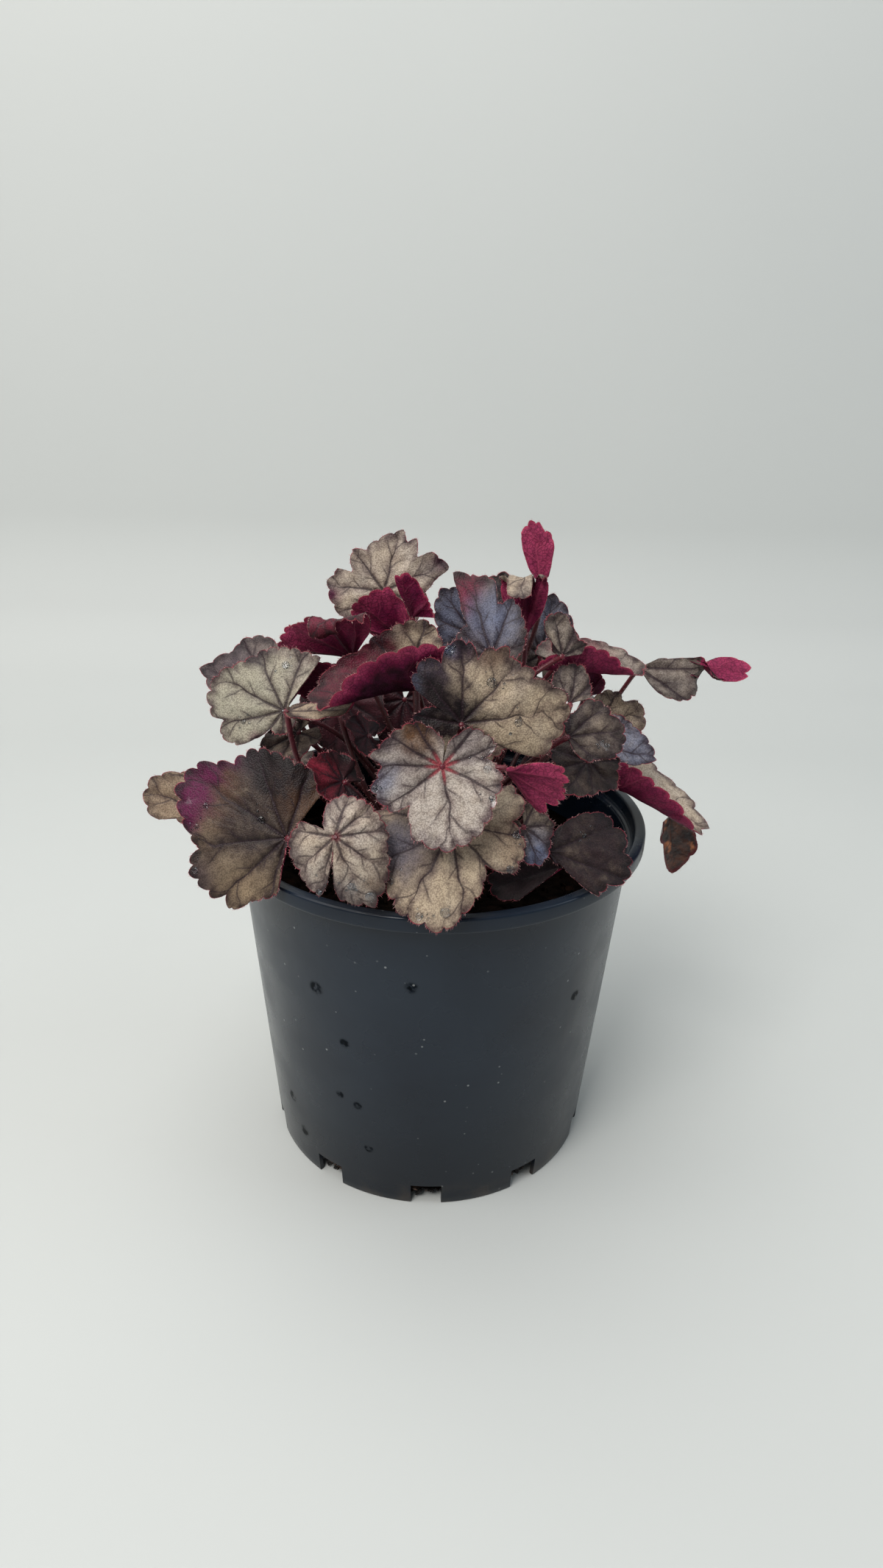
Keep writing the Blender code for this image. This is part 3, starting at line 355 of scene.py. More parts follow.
# %% Leaves at the back and inside
BACK_ROWS = (
    ((40.5, 26, 156), (58, 37.5, 149), (0.26, 0.17, 0.95), (19, 35, 0.22, 0.23, 0.69)),
    ((39.5, 41, 136), (55, 57, 124.5), (0.33, 0.34, 0.88), (41, 28, 0.51, 0.27, 0.81)),
    ((16, 44, 147), (24, 66, 138.5), (0.12, 0.32, 0.94), (65, 50, 0.26, 0.16, 0.69)),
    ((6, 56.5, 130), (8.5, 79.5, 120.5), (0.04, 0.37, 0.93), (75, 19, 0.29, 0.45, 0.81)),
    ((-9.5, 42, 142), (-15, 65, 137), (-0.05, 0.2, 0.98), (94, 44, 0.39, 0.52, 0.68)),
    ((-31.5, 46.5, 133), (-45, 66.5, 123.5), (-0.21, 0.31, 0.93), (114, 35, 0.39, 0.52, 0.68)),
    ((-40, 27, 146), (-60, 40.5, 137), (-0.28, 0.19, 0.94), (145, 43, 0.41, 0.32, 0.68)),
    ((-51, 11, 134), (-73.5, 15.5, 124.5), (-0.37, 0.08, 0.93), (166, 39, 0.27, 0.53, 0.62)),
    ((22.5, 32, 167), (34, 48.5, 162), (0.14, 0.2, 0.97), (31, 53, 0.4, 0.26, 0.42)),
    ((-22, 23, 163), (-36.5, 37.5, 158), (-0.17, 0.17, 0.97), (109, 59, 0.25, 0.39, 0.84)),
)
INNER_LEAVES = (
    dict(
        name="leaf_inner_left", joint=(-30, 4, 156), tip=(-34, -1, 138), face=(-0.1, -0.85, 0.5),
        teeth=15, wave=0.04, waves=5, stalk=(208, 88, 0.46, 0.34, 0.83),
    ),
    dict(
        name="leaf_inner_mid", joint=(-11, 9, 155), tip=(-13, 4, 138), face=(0.05, -0.85, 0.5),
        teeth=15, wave=0.04, waves=5, phase=2, stalk=(160, 68, 0.34, 0.27, 0.87),
    ),
)
back_leaves = [
    dict(
        name=f"leaf_back_{order + 1}", joint=joint, tip=tip, face=face, stalk=stalk,
        teeth=17, cup=-0.12, wave=0.03, phase=order,
    )
    for order, (joint, tip, face, stalk) in enumerate(BACK_ROWS)
]
LEAVES = (*SEEN_LEAVES, *back_leaves, *INNER_LEAVES)
print(len(LEAVES), "leaves in all")

# %% [markdown]
# No two leaves are coloured alike. Most are silvery tan with a purple shadow, the lower and
# inner ones are dark, partly dusky in their own colour and partly painted shade, and those that
# turn over show wine red. The looks below name, for some leaves, the angles of the main veins,
# how far the veins stay red from the joint, how dusky the blade is together with its painted
# shade, how brightly light shines through it, and washes of colour. A wash is a kind, its place
# as (angle, reach), its size and its strength; the dark washes are partly painted shade and the
# blue ones partly a painted sheen. Painting them by place keeps them soft, as in life.

# %% How each leaf is coloured
LOOKS = {
    "front_centre": dict(
        veins=(-152, -124, -97, -58, 5, 62, 106, 134), heart=4.6, dusk_and_shade=0.0, silver=0.9,
        washes=(
            ("brown", -149, 0.45, 0.26, 0.9), ("blue", -82, 0.75, 0.22, 0.7),
            ("purple", -100, 0.4, 0.3, 0.5), ("purple", 128, 0.4, 0.25, 0.6),
            ("brown", -150, 0.7, 0.2, 0.6), ("purple", -120, 0.8, 0.22, 0.6),
            ("wet", -80, 0.78, 0.14, 1), ("wet", 95, 0.62, 0.12, 1), ("red", 85, 0.78, 0.13, 0.7),
            ("wet", 52, 0.74, 0.1, 0.8), ("wet", -25, 0.85, 0.1, 0.7),
        ),
    ),
    "front_low": dict(
        veins=(-100, -58, -22, 14, 50, 92), dusk_and_shade=0.0, silver=0.15,
        washes=(
            ("purple", -60, 0.5, 0.38, 0.8), ("blue", -68, 0.6, 0.25, 0.4),
            ("brown", 88, 0.6, 0.3, 0.4), ("wet", 96, 0.7, 0.08, 1), ("wet", 2, 0.82, 0.07, 1),
            ("wet", 60, 0.74, 0.07, 1), ("wet", -13, 0.93, 0.06, 1),
        ),
    ),
    "front_small": dict(
        veins=(-140, -105, -62, -28, 5, 103, 150, 182), heart=1.4, dusk_and_shade=-0.25, silver=0.6,
        washes=(
            ("purple", 130, 1.15, 0.35, 0.6), ("purple", -165, 1.2, 0.4, 0.7),
            ("brown", -122, 1.45, 0.35, 0.6), ("wet", -143, 1.15, 0.16, 1),
            ("wet", -132, 1.5, 0.14, 1),
        ),
    ),
    "left_large": dict(
        veins=(-128, -84, -44, -8, 30, 66, 98), dusk_and_shade=0.8, silver=0.1,
        washes=(
            ("tan", 62, 0.66, 0.28, 0.45), ("tan", 92, 0.55, 0.26, 0.45),
            ("brown", -120, 0.5, 0.35, 0.7), ("tan", 22, 0.72, 0.14, 0.3),
            ("dark_and_shade", -12, 0.3, 0.3, 0.5), ("dark_and_shade", -74, 0.6, 0.3, 0.95),
            ("dark_and_shade", -52, 0.65, 0.24, 0.8), ("dark_and_shade", 4, 0.97, 0.22, 0.9),
            ("dark_and_shade", -14, 1.0, 0.22, 0.9), ("dark_and_shade", -32, 0.95, 0.2, 0.9),
            ("brown", -8, 0.88, 0.34, 0.8), ("magenta", 4, 0.97, 0.24, 1),
            ("magenta", -12, 1.0, 0.24, 1), ("magenta", 16, 0.92, 0.13, 1),
            ("magenta", -26, 0.95, 0.17, 1), ("magenta", -38, 0.95, 0.16, 1),
            ("brown", -68, 0.4, 0.2, 0.8), ("brown", -76, 0.58, 0.16, 0.7),
            ("purple", -38, 0.75, 0.16, 0.9), ("purple", 49, 0.86, 0.16, 0.5),
            ("blue", -4, 0.97, 0.07, 0.45), ("wet", 5, 0.9, 0.05, 0.6),
        ),
    ),
    "right_large": dict(
        veins=(-118, -80, -40, 2, 42, 84), dusk_and_shade=0.05, silver=0.15,
        washes=(
            ("dark_and_shade", 40, 0.1, 0.34, 0.9), ("dark_and_shade", 72, 0.45, 0.4, 1),
            ("dark_and_shade", 96, 0.7, 0.42, 0.9), ("dark_and_shade", 60, 0.75, 0.34, 0.7),
            ("purple", 62, 0.8, 0.35, 1), ("purple", 95, 0.8, 0.4, 1),
            ("brown", -20, 0.95, 0.25, 0.6), ("purple", 30, 0.83, 0.3, 0.9),
            ("purple", 60, 0.5, 0.35, 0.9),
            ("purple", 5, 0.95, 0.22, 0.8), ("blue", 56, 0.85, 0.14, 0.5),
            ("blue", 14, 0.95, 0.1, 1), ("purple", -64, 1.25, 0.18, 0.6),
            ("blue", 76, 0.88, 0.3, 0.42), ("blue", 50, 0.95, 0.24, 0.35),
            ("purple", -12, 1.05, 0.38, 0.7), ("purple", -44, 1.1, 0.3, 0.6),
            ("wet", 14, 0.95, 0.08, 1),
        ),
    ),
    "left_upper": dict(
        veins=(-95, -50, -12, 24, 62, 100), dusk_and_shade=0.2, silver=0.6,
        washes=(
            ("olive", 0, 0.5, 0.9, 0.75),
            ("purple", -50, 0.75, 0.16, 0.7), ("magenta", 40, 0.84, 0.08, 0.6),
            ("magenta", 55, 0.45, 0.08, 0.6),
        ),
    ),
    "top_back": dict(
        dusk_and_shade=0.0, silver=0.5,
        washes=(
            ("magenta", 106, 0.88, 0.16, 1), ("magenta", -48, 1.1, 0.16, 0.9),
            ("purple", -50, 0.9, 0.25, 0.6), ("purple", 60, 0.5, 0.2, 0.3),
        ),
    ),
    "upper_mid": dict(
        dusk_and_shade=0.7, silver=0.6, glow=0.75,
        washes=(
            ("purple", 40, 0.6, 0.5, 0.9), ("blue", -10, 0.45, 0.35, 0.75),
            ("dark_and_shade", -60, 0.8, 0.3, 0.6), ("wine", 14, 0.9, 0.2, 1), ("wine", 28, 0.72, 0.16, 1),
        ),
    ),
    "upper_back": dict(dusk_and_shade=0.8, washes=(("blue", 60, 0.6, 0.4, 0.9),)),
    "upright_fold": dict(dusk_and_shade=0.3, silver=0.4, glow=0.6),
    "upright_tip": dict(glow=1.0),
    "behind_right": dict(dusk_and_shade=0.7, washes=(("blue", 0, 0.6, 0.5, 0.6),)),
    "left_back": dict(dusk_and_shade=0.5, silver=0.6, washes=(("purple", 0, 0.6, 0.8, 0.75),)),
    "left_far": dict(dusk_and_shade=0.2, silver=0.0, washes=(("brown", 0, 0.6, 0.5, 0.5),)),
    "fan_left": dict(
        glow=0.75, fade=1.0, dusk_and_shade=0.6,
        washes=(("dark_and_shade", 0, 0.7, 1.2, 0.9), ("wine", 0, 0.7, 1.4, 0.9)),
    ),
    "roll_top": dict(glow=0.6, fade=1.2, dusk_and_shade=0.4),
    "roll_inner": dict(glow=0.35),
    # Its dark washes are painted shade.
    "taco_left": dict(
        glow=-0.9, fade=5.0, dusk_and_shade=0.3, silver=0.1,
        washes=(
            ("dark_and_shade", 0, 0.9, 0.75, 1), ("dark_and_shade", 60, 0.7, 0.5, 1), ("dark_and_shade", -50, 0.7, 0.4, 1),
            ("wine", 0, 0.9, 0.75, 0.45), ("wine", 60, 0.7, 0.5, 0.45),
            ("wine", -50, 0.7, 0.4, 0.45),
        ),
    ),
    "edge_left": dict(dusk_and_shade=0.4, silver=0.2, glow=0.6),
    "fold_left": dict(glow=0.25, dusk_and_shade=0.5),
    "crinkle_inner": dict(glow=0.15, dusk_and_shade=1.0, washes=(("wine", 0, 0.6, 1.4, 0.4),)),
    "crinkle_right": dict(glow=0.45, dusk_and_shade=0.45, silver=0.6),
    "red_young": dict(glow=0.4, dusk_and_shade=1.0, washes=(("red", 0, 0.9, 0.8, 0.75),)),
    "stem_left": dict(dusk_and_shade=0.6),
    # The inner leaves are near black: painted shade deep inside the plant.
    "inner_left": dict(dusk_and_shade=1.1, glow=0.1, washes=(("wine", 0, 0.6, 1.4, 0.3),)),
    "inner_mid": dict(dusk_and_shade=1.1, glow=0.1, washes=(("wine", 0, 0.6, 1.4, 0.25),)),
    "blue_left": dict(dusk_and_shade=0.85, washes=(("blue", 0, 0.6, 0.8, 0.6),)),
    "split_right": dict(dusk_and_shade=0.45, silver=0.7, glow=0.6, washes=(("wine", 60, 0.5, 0.4, 0.6),)),
    "twist_far": dict(dusk_and_shade=0.6, silver=0.7, glow=0.7, washes=(("magenta", 0, 1.0, 0.32, 1),)),
    "mid_right": dict(dusk_and_shade=0.6, silver=0.6),
    "maroon_right": dict(glow=0.15, dusk_and_shade=1.0),
    "tan_right": dict(dusk_and_shade=0.25, silver=0.1),
    "blue_right": dict(dusk_and_shade=0.25, silver=0.9, washes=(("blue", 0, 0.6, 0.9, 0.8),)),
    "round_right": dict(dusk_and_shade=0.74, silver=0.5, washes=(("wet", -16, 0.65, 0.14, 0.8),)),
    "under_right": dict(dusk_and_shade=0.85),
    "ruffle_pink": dict(glow=0.85, fade=0.9),
    "taco_right": dict(dusk_and_shade=0.0, silver=0.5, glow=0.55),
    "low_right": dict(dusk_and_shade=0.92, silver=0.2, veins=(-95, -50, -12, 28, 75, 120)),
    "inside_low": dict(dusk_and_shade=1.1),
    "blue_small": dict(dusk_and_shade=0.6, washes=(("blue", -9, 0.9, 0.35, 1), ("blue", 20, 0.5, 0.4, 0.6))),
}
draw = np.random.default_rng(8)
for number in range(1, len(BACK_ROWS) + 1):
    lobe, other = draw.uniform(-100, 100, 2)
    LOOKS[f"back_{number}"] = dict(
        dusk_and_shade=draw.uniform(0.15, 0.7), silver=draw.uniform(0.1, 0.7), glow=draw.uniform(0.3, 0.8),
        washes=(("purple", lobe, 0.7, 0.35, 0.9), ("brown", other, 0.6, 0.3, 0.7),
                ("dark_and_shade", 0, 0.05, 0.25, 0.6)),
    )
print(len(LOOKS), "leaves have looks of their own")

# %% [markdown]
# The blade is a height field over the leaf's own plane, and then it is bent. Every point is found
# from two numbers: how far round the outline it lies, and how far out from the joint. Working on
# whole arrays at once is fast, and it lets one formula serve a coarse solid and a fine skin.

# %% The form of a blade
SHAPE = dict(
    teeth=17, tooth=0.055, cup=0.0, wave=0.0, waves=4, phase=0.0, pleat=0.04, fold=0.0,
    twist=None, bends=(), width=1.0, lobes=REGULAR, colour="tan",
)
LOOK = dict(veins=None, heart=0.0, dusk_and_shade=0.15, silver=0.3, glow=0.5, fade=0.5, washes=())


def unit(vectors):
    """Each row divided by its own length."""
    return vectors / np.maximum(np.linalg.norm(vectors, axis=-1, keepdims=True), 1e-9)


def leaf_axes(leaf):
    """Length, and three axes: joint to tip, to the left, and out of the upper side."""
    span = np.subtract(leaf["tip"], leaf["joint"]).astype(float)
    length = np.linalg.norm(span)
    tipward = span / length
    face = np.array(leaf["face"], float)
    face = unit(face - tipward * (face @ tipward))
    return length, np.array((tipward, np.cross(face, tipward), face))


def roll(points, heading, start, radius, angle):
    """What lies past a line across the sheet goes round a cylinder that touches the sheet there:
    ahead becomes (radius - height) sin(turn), and height becomes radius - (radius - height)
    cos(turn), with turn = ahead / radius up to the full angle."""
    side = math.copysign(1.0, angle)
    along = np.array((math.cos(math.radians(heading)), math.sin(math.radians(heading))))
    across = np.array((-along[1], along[0]))
    ahead = points[..., :2] @ along - start
    sideways = points[..., :2] @ across
    height = points[..., 2] * side
    full = math.radians(abs(angle))
    turn = np.clip(ahead / radius, 0.0, full)
    rest = np.maximum(ahead - radius * full, 0.0)
    reach = np.minimum(ahead, 0.0) + (radius - height) * np.sin(turn) + rest * np.cos(turn)
    lift = radius - (radius - height) * np.cos(turn) + rest * np.sin(turn)
    flat = (start + reach)[..., None] * along + sideways[..., None] * across
    return np.concatenate((flat, (lift * side)[..., None]), axis=-1)


def twisted(points, length, start, end, degrees):
    """Turns the blade about its middle line, smoothly from none at start to all at end."""
    share = np.clip((points[..., 0] / length - start) / (end - start), 0.0, 1.0)
    turn = math.radians(degrees) * share * share * (3.0 - 2.0 * share)
    side = points[..., 1] * np.cos(turn) - points[..., 2] * np.sin(turn)
    lift = points[..., 1] * np.sin(turn) + points[..., 2] * np.cos(turn)
    return np.stack((points[..., 0], side, lift), axis=-1)


LOBE_SMOOTHING = 7
LOBE_MARGIN = 8
OUTER_GAP = 10
WIDEST_GAP = 58
BEYOND_OUTLINE = 30


def vein_angles(leaf):
    """The angles of the main veins: those given, or one for each lobe and one in each wide gap."""
    if leaf["veins"]:
        return np.radians(leaf["veins"])
    lobes = np.array(leaf["lobes"], float)
    degrees = np.arange(lobes[0, 0] + LOBE_MARGIN, lobes[-1, 0] - LOBE_MARGIN + 1)
    reach = np.interp(degrees, lobes[:, 0], lobes[:, 1])
    window = 2 * LOBE_SMOOTHING + 1
    padded = np.pad(reach, LOBE_SMOOTHING, mode="edge")
    near = np.convolve(padded, np.ones(window) / window, mode="valid")
    peaks = degrees[1:-1][(near[1:-1] > near[:-2]) & (near[1:-1] >= near[2:])]
    ends = np.concatenate((lobes[:1, 0] - OUTER_GAP, peaks, lobes[-1:, 0] + OUTER_GAP))
    gaps = np.diff(ends)
    extra = (ends[:-1] + gaps / 2)[gaps > WIDEST_GAP]
    return np.radians(np.sort(np.concatenate((peaks, extra))))


def vein_number(leaf, angle):
    """Counts the main veins from one side of the leaf to the other, in whole numbers on a vein
    and in between by angle. Also gives the angle from one vein to the next."""
    veins = vein_angles(leaf)
    first, last = leaf["lobes"][0][0], leaf["lobes"][-1][0]
    ends = np.radians((first - BEYOND_OUTLINE, last + BEYOND_OUTLINE))
    steps = np.concatenate((ends[:1], veins, ends[1:]))
    number = np.interp(angle, steps, np.arange(len(steps)))
    gap = np.interp(angle, (steps[1:] + steps[:-1]) / 2, np.diff(steps))
    return number, gap


TOOTH_ROUNDNESS = 0.6
FOLD_SOFTNESS = 0.12


def flat_blade(leaf, around, outward, toothed=True):
    """Points in the leaf's plane. Distance = length x outward x reach, less a bite between
    teeth, where reach follows the outline and each tooth is |sin| to a power that rounds it."""
    lobes = np.array(leaf["lobes"], float)
    angles = np.radians(lobes[:, 0])
    angle = angles[0] + (angles[-1] - angles[0]) * around
    reach = leaf["length"] * np.interp(angle, angles, lobes[:, 1])
    if toothed:
        tooth = np.abs(np.sin(math.pi * leaf["teeth"] * around)) ** TOOTH_ROUNDNESS
        reach = reach * (1.0 - leaf["tooth"] * (1.0 - tooth))
    distance = outward * reach
    return distance * np.cos(angle), distance * np.sin(angle) * leaf["width"], angle, reach


def bent_blade(leaf, ahead, side, angle, outward):
    """Height = cup, wave, pleat between veins and fold; then twist, bends and the leaf's axes."""
    length = leaf["length"]
    soft = FOLD_SOFTNESS * length
    number, _ = vein_number(leaf, angle)
    pleat = 0.5 - 0.5 * np.cos(2.0 * math.pi * number)
    height = (
        leaf["cup"] * (ahead**2 + side**2) / length
        + leaf["wave"] * length * outward**2 * np.sin(leaf["waves"] * angle + leaf["phase"])
        + leaf["pleat"] * length * outward * (1.0 - 0.6 * outward) * pleat
        + leaf["fold"] * (np.sqrt(side**2 + soft**2) - soft)
    )
    points = np.stack((ahead, side, height), axis=-1)
    if leaf["twist"]:
        points = twisted(points, length, *leaf["twist"])
    for heading, start, radius, bend in leaf["bends"]:
        points = roll(points, heading, start * length, radius * length, bend)
    return points @ leaf["axes"] + leaf["joint"] + CENTRE


def full_leaf(row):
    """A row of the table with every value filled in, and its own random numbers."""
    name = row["name"].removeprefix("leaf_")
    leaf = {**SHAPE, **LOOK, **row, **LOOKS.get(name, {})}
    leaf["short"] = name
    leaf["length"], leaf["axes"] = leaf_axes(leaf)
    leaf["joint"] = np.array(leaf["joint"], float)
    leaf["seed"] = 100 + len(name) + 7 * sum(map(ord, name))
    return leaf


leaves = [full_leaf(row) for row in LEAVES]
print("leaf lengths in mm:", sorted(round(float(leaf["length"])) for leaf in leaves))

# %% [markdown]
# A real blade is thin, a little puckered between its veins, and closed all round by a soft edge.
# The fine skin is two sheets of points, upper and lower, joined along the outline. A Solidify
# modifier could make the second sheet, but offsetting along directions worked out from the
# untoothed blade keeps the tiny teeth from crossing each other.

# %% Small uneven relief
def swell(x, y, seed, size, waves=7):
    """Smooth unevenness from about -1 to 1: a mean of sine waves about one size apart, with
    random headings and starts."""
    draw = np.random.default_rng(seed)
    heading = draw.uniform(0, 2 * math.pi, waves)
    pitch = 2 * math.pi / (size * draw.uniform(0.7, 1.5, waves))
    start = draw.uniform(0, 2 * math.pi, waves)
    run = x[..., None] * np.cos(heading) + y[..., None] * np.sin(heading)
    return np.sin(run * pitch + start).sum(axis=-1) * (1.5 / waves)


COLUMNS_PER_TOOTH = 8
OUTWARD = np.array(
    (0.03, 0.09, 0.17, 0.26, 0.35, 0.44, 0.53, 0.62, 0.71, 0.79, 0.86, 0.92, 0.965, 1.0)
)
THICK_MIDDLE = 0.5
THICK_EDGE = 0.28
GROOVE_DEPTH = 0.42
GROOVE_HALF_WIDTH = 0.7
PUCKER = 0.26
PUCKER_SIZE = 4.5
RUFFLE = 0.35
RUFFLE_SIZE = 6.0


def skin_grid(leaf):
    """Upper points, lower points and what the colours need, on a grid of rows outward and
    columns round the outline."""
    count = leaf["teeth"] * COLUMNS_PER_TOOTH + 1
    around, outward = np.meshgrid(np.linspace(0, 1, count), OUTWARD)
    plain = bent_blade(leaf, *flat_blade(leaf, around, outward, toothed=False)[:3], outward)
    rows = np.gradient(plain, axis=0)
    columns = np.gradient(plain, axis=1)
    normal = unit(np.cross(rows, columns))
    ahead, side, angle, reach = flat_blade(leaf, around, outward)
    number, gap = vein_number(leaf, angle)
    distance = np.hypot(ahead, side / leaf["width"])
    off_vein = np.abs(number - np.round(number)) * gap * distance
    groove = -GROOVE_DEPTH * np.exp(-((off_vein / GROOVE_HALF_WIDTH) ** 2)) * (1 - 0.7 * outward)
    pucker = PUCKER * swell(ahead, side, leaf["seed"], PUCKER_SIZE) * np.minimum(1, distance / 6)
    ruffle = RUFFLE * outward**6 * swell(ahead, side, leaf["seed"] + 1, RUFFLE_SIZE)
    top = bent_blade(leaf, ahead, side, angle, outward)
    top = top + normal * (groove + pucker + ruffle)[..., None]
    thick = THICK_MIDDLE + (THICK_EDGE - THICK_MIDDLE) * outward**4
    under = top - normal * thick[..., None]
    facts = dict(
        vein_number=number, vein_gap=gap * distance, reach=distance,
        rim=(1 - outward) * reach, flat_x=ahead, flat_y=side,
    )
    return top, under, normal, facts


def band(first, second):
    """Quads between two rows of point numbers of equal length."""
    return np.stack((first[:-1], second[:-1], second[1:], first[1:]), axis=-1)


def skin_faces(rows, columns):
    """Quads of the upper sheet, the lower sheet and the edge that closes them, all facing out."""
    top = np.arange(rows * columns).reshape(rows, columns)
    under = top + rows * columns
    upper = np.stack((top[:-1, :-1], top[1:, :-1], top[1:, 1:], top[:-1, 1:]), -1).reshape(-1, 4)
    lower = np.stack((under[:-1, :-1], under[:-1, 1:], under[1:, 1:], under[1:, :-1]), -1)
    edge = np.concatenate((
        band(top[-1], under[-1]), band(under[0], top[0]),
        band(top[:, 0], under[:, 0]), band(under[:, -1], top[:, -1]),
    ))
    return upper, lower.reshape(-1, 4), edge


WASH_UNEVENNESS = 0.22
WASH_LUMPS = 6.0


def wash_strength(leaf, kind, x, y):
    """How strongly a wash of one kind lies on each point: exp(-(distance / size)^3) round each of
    its places, with the distance made uneven so the wash has no round edge."""
    total = np.zeros_like(x)
    uneven = 1 + WASH_UNEVENNESS * swell(x, y, leaf["seed"] + 9, WASH_LUMPS)
    for name, degrees, reach, size, strength in leaf["washes"]:
        if name == kind:
            turn = math.radians(degrees)
            far = np.hypot(
                x / leaf["length"] - reach * math.cos(turn),
                y / leaf["length"] - reach * math.sin(turn) * leaf["width"],
            )
            total = total + strength * np.exp(-((far * uneven / size) ** 3))
    return np.clip(total, 0, 1)


sample = skin_grid(leaves[0])
print("front leaf grid:", sample[0].shape, "points a side")

# %% [markdown]
# Stalks rise from the crown and bend over to meet their blades. A profile carried along a path
# makes them: rings of points stand square to a smooth curve. The stalk is widest where it
# clasps the crown and thinnest just under the blade, and its end is drawn in to a rounded tip.

# %% Stalks
CROWN = np.array((0.0, 0.0, 99.0))
CROWN_CLEAR = 12.3
STALK_SIDES = 8
STALK_RINGS = 22
STALK_RADIUS = 0.78
ROOT_SWELLING = 0.75
JOINT_SWELLING = 0.12


def stalk_path(leaf, share):
    """A cubic curve from the crown's surface to the joint: four points, blended by share."""
    side, height, leave, arrive, under = leaf["stalk"]
    side = math.radians(side)
    height = math.radians(height)
    rise = np.array((
        math.cos(height) * math.cos(side), math.cos(height) * math.sin(side), math.sin(height)
    ))
    root = CROWN + rise * CROWN_CLEAR + CENTRE
    joint = leaf["joint"] + CENTRE
    back = unit(-(1.0 - under) * leaf["axes"][0] - under * leaf["axes"][2])
    span = np.linalg.norm(joint - root)
    first = root + rise * span * leave
    last = joint + back * span * arrive
    t = np.asarray(share, float)[..., None]
    return (
        (1 - t) ** 3 * root + 3 * (1 - t) ** 2 * t * first
        + 3 * (1 - t) * t * t * last + t**3 * joint
    )


def frames_along(path):
    """Tangents, and two directions square to them. One reference direction, square to the
    curve's own plane, serves the whole path, so the rings never twist."""
    along = unit(np.gradient(path, axis=0))
    plane = np.cross(along[0], along[-1])
    if np.linalg.norm(plane) < 0.05:
        plane = np.cross(along[0], (0.3, 0.2, 1.0))
    first = unit(np.cross(along, unit(plane)))
    return along, first, np.cross(along, first)


def tube(path, radius, sides):
    """Rings of radius r round the path: point = path + r (first cos a + second sin a)."""
    _, first, second = frames_along(path)
    turn = np.linspace(0, 2 * math.pi, sides, endpoint=False)
    ring = first[:, None] * np.cos(turn)[:, None] + second[:, None] * np.sin(turn)[:, None]
    points = path[:, None] + ring * np.asarray(radius)[:, None, None]
    rows = np.arange(len(path) * sides).reshape(len(path), sides)
    nearby = np.roll(rows, -1, axis=1)
    walls = np.stack((rows[:-1], nearby[:-1], nearby[1:], rows[1:]), -1).reshape(-1, 4)
    caps = [rows[0][::-1].tolist(), rows[-1].tolist()]
    return points.reshape(-1, 3), walls, caps


def stalk_radius(share):
    """The plain radius, swelling to twice that at the root and slightly at the joint, and then
    rounded off."""
    swollen = (
        STALK_RADIUS + ROOT_SWELLING * np.exp(-share / 0.07)
        + JOINT_SWELLING * np.exp(-(((share - 0.97) / 0.05) ** 2))
    )
    return swollen * np.sqrt(np.clip((1.004 - share) / 0.012, 0, 1))


ROUNDED_END = (0.991, 0.996, 0.999, 1.0)
STALK_SHARE = np.concatenate((np.linspace(0, 0.985, STALK_RINGS - len(ROUNDED_END)), ROUNDED_END))
print("a stalk has", len(STALK_SHARE), "rings of", STALK_SIDES)

# %% [markdown]
# Short stiff hairs stand along the leaf's margin and its stalk, and they catch the light as a
# pale fringe. Hair curves would vanish from an exported model, so each hair is a slim spike of
# three sides. All the hairs of one leaf are made at once, from random places along the edge.

# %% Hairs
EDGE_HAIR_SPACING = 0.5
EDGE_HAIR_LENGTHS = (0.35, 1.15)
EDGE_HAIR_WIDTH = 0.055
EDGE_HAIR_SINK = 0.08
STALK_HAIRS_PER_MM = 2
STALK_HAIR_LENGTHS = (0.4, 1.1)
STALK_HAIR_WIDTH = 0.04
STALK_HAIR_OUT = 0.7


def spikes(root, direction, length, width, draw):
    """A three-sided spike at each root: a small triangle square to the direction, and a tip."""
    helper = unit(draw.normal(size=root.shape))
    first = unit(np.cross(direction, helper))
    second = np.cross(direction, first)
    turn = np.radians((0, 120, 240))
    foot = (
        first[:, None] * np.cos(turn)[:, None] + second[:, None] * np.sin(turn)[:, None]
    ) * width[:, None, None]
    corners = root[:, None] + foot
    tip = root + direction * length[:, None]
    points = np.concatenate((corners, tip[:, None]), axis=1).reshape(-1, 3)
    first_of = 4 * np.arange(len(root))[:, None]
    sides = first_of[:, None] + np.array(((0, 1, 3), (1, 2, 3), (2, 0, 3), (2, 1, 0)))
    return points, sides.reshape(-1, 3)


def margin_hairs(leaf, top, under, normal):
    """Hairs out of the outer row, tilted at random and equally dense all along it."""
    draw = np.random.default_rng(leaf["seed"] + 2)
    edge = (top[-1] + under[-1]) / 2
    run = np.concatenate(([0], np.cumsum(np.linalg.norm(np.diff(edge, axis=0), axis=1))))
    count = int(run[-1] / EDGE_HAIR_SPACING)
    at = np.sort(draw.uniform(0, run[-1], count))
    root = np.stack([np.interp(at, run, edge[:, k]) for k in range(3)], axis=-1)
    out = unit(top[-1] - top[-2])
    away = np.stack([np.interp(at, run, out[:, k]) for k in range(3)], axis=-1)
    upward = np.stack([np.interp(at, run, normal[-1, :, k]) for k in range(3)], axis=-1)
    lean = draw.normal(0, 0.45, (count, 1))
    direction = unit(away + upward * lean + draw.normal(0, 0.25, (count, 3)))
    length = draw.uniform(*EDGE_HAIR_LENGTHS, count)
    root = root - direction * EDGE_HAIR_SINK
    return spikes(root, direction, length, np.full(count, EDGE_HAIR_WIDTH), draw)


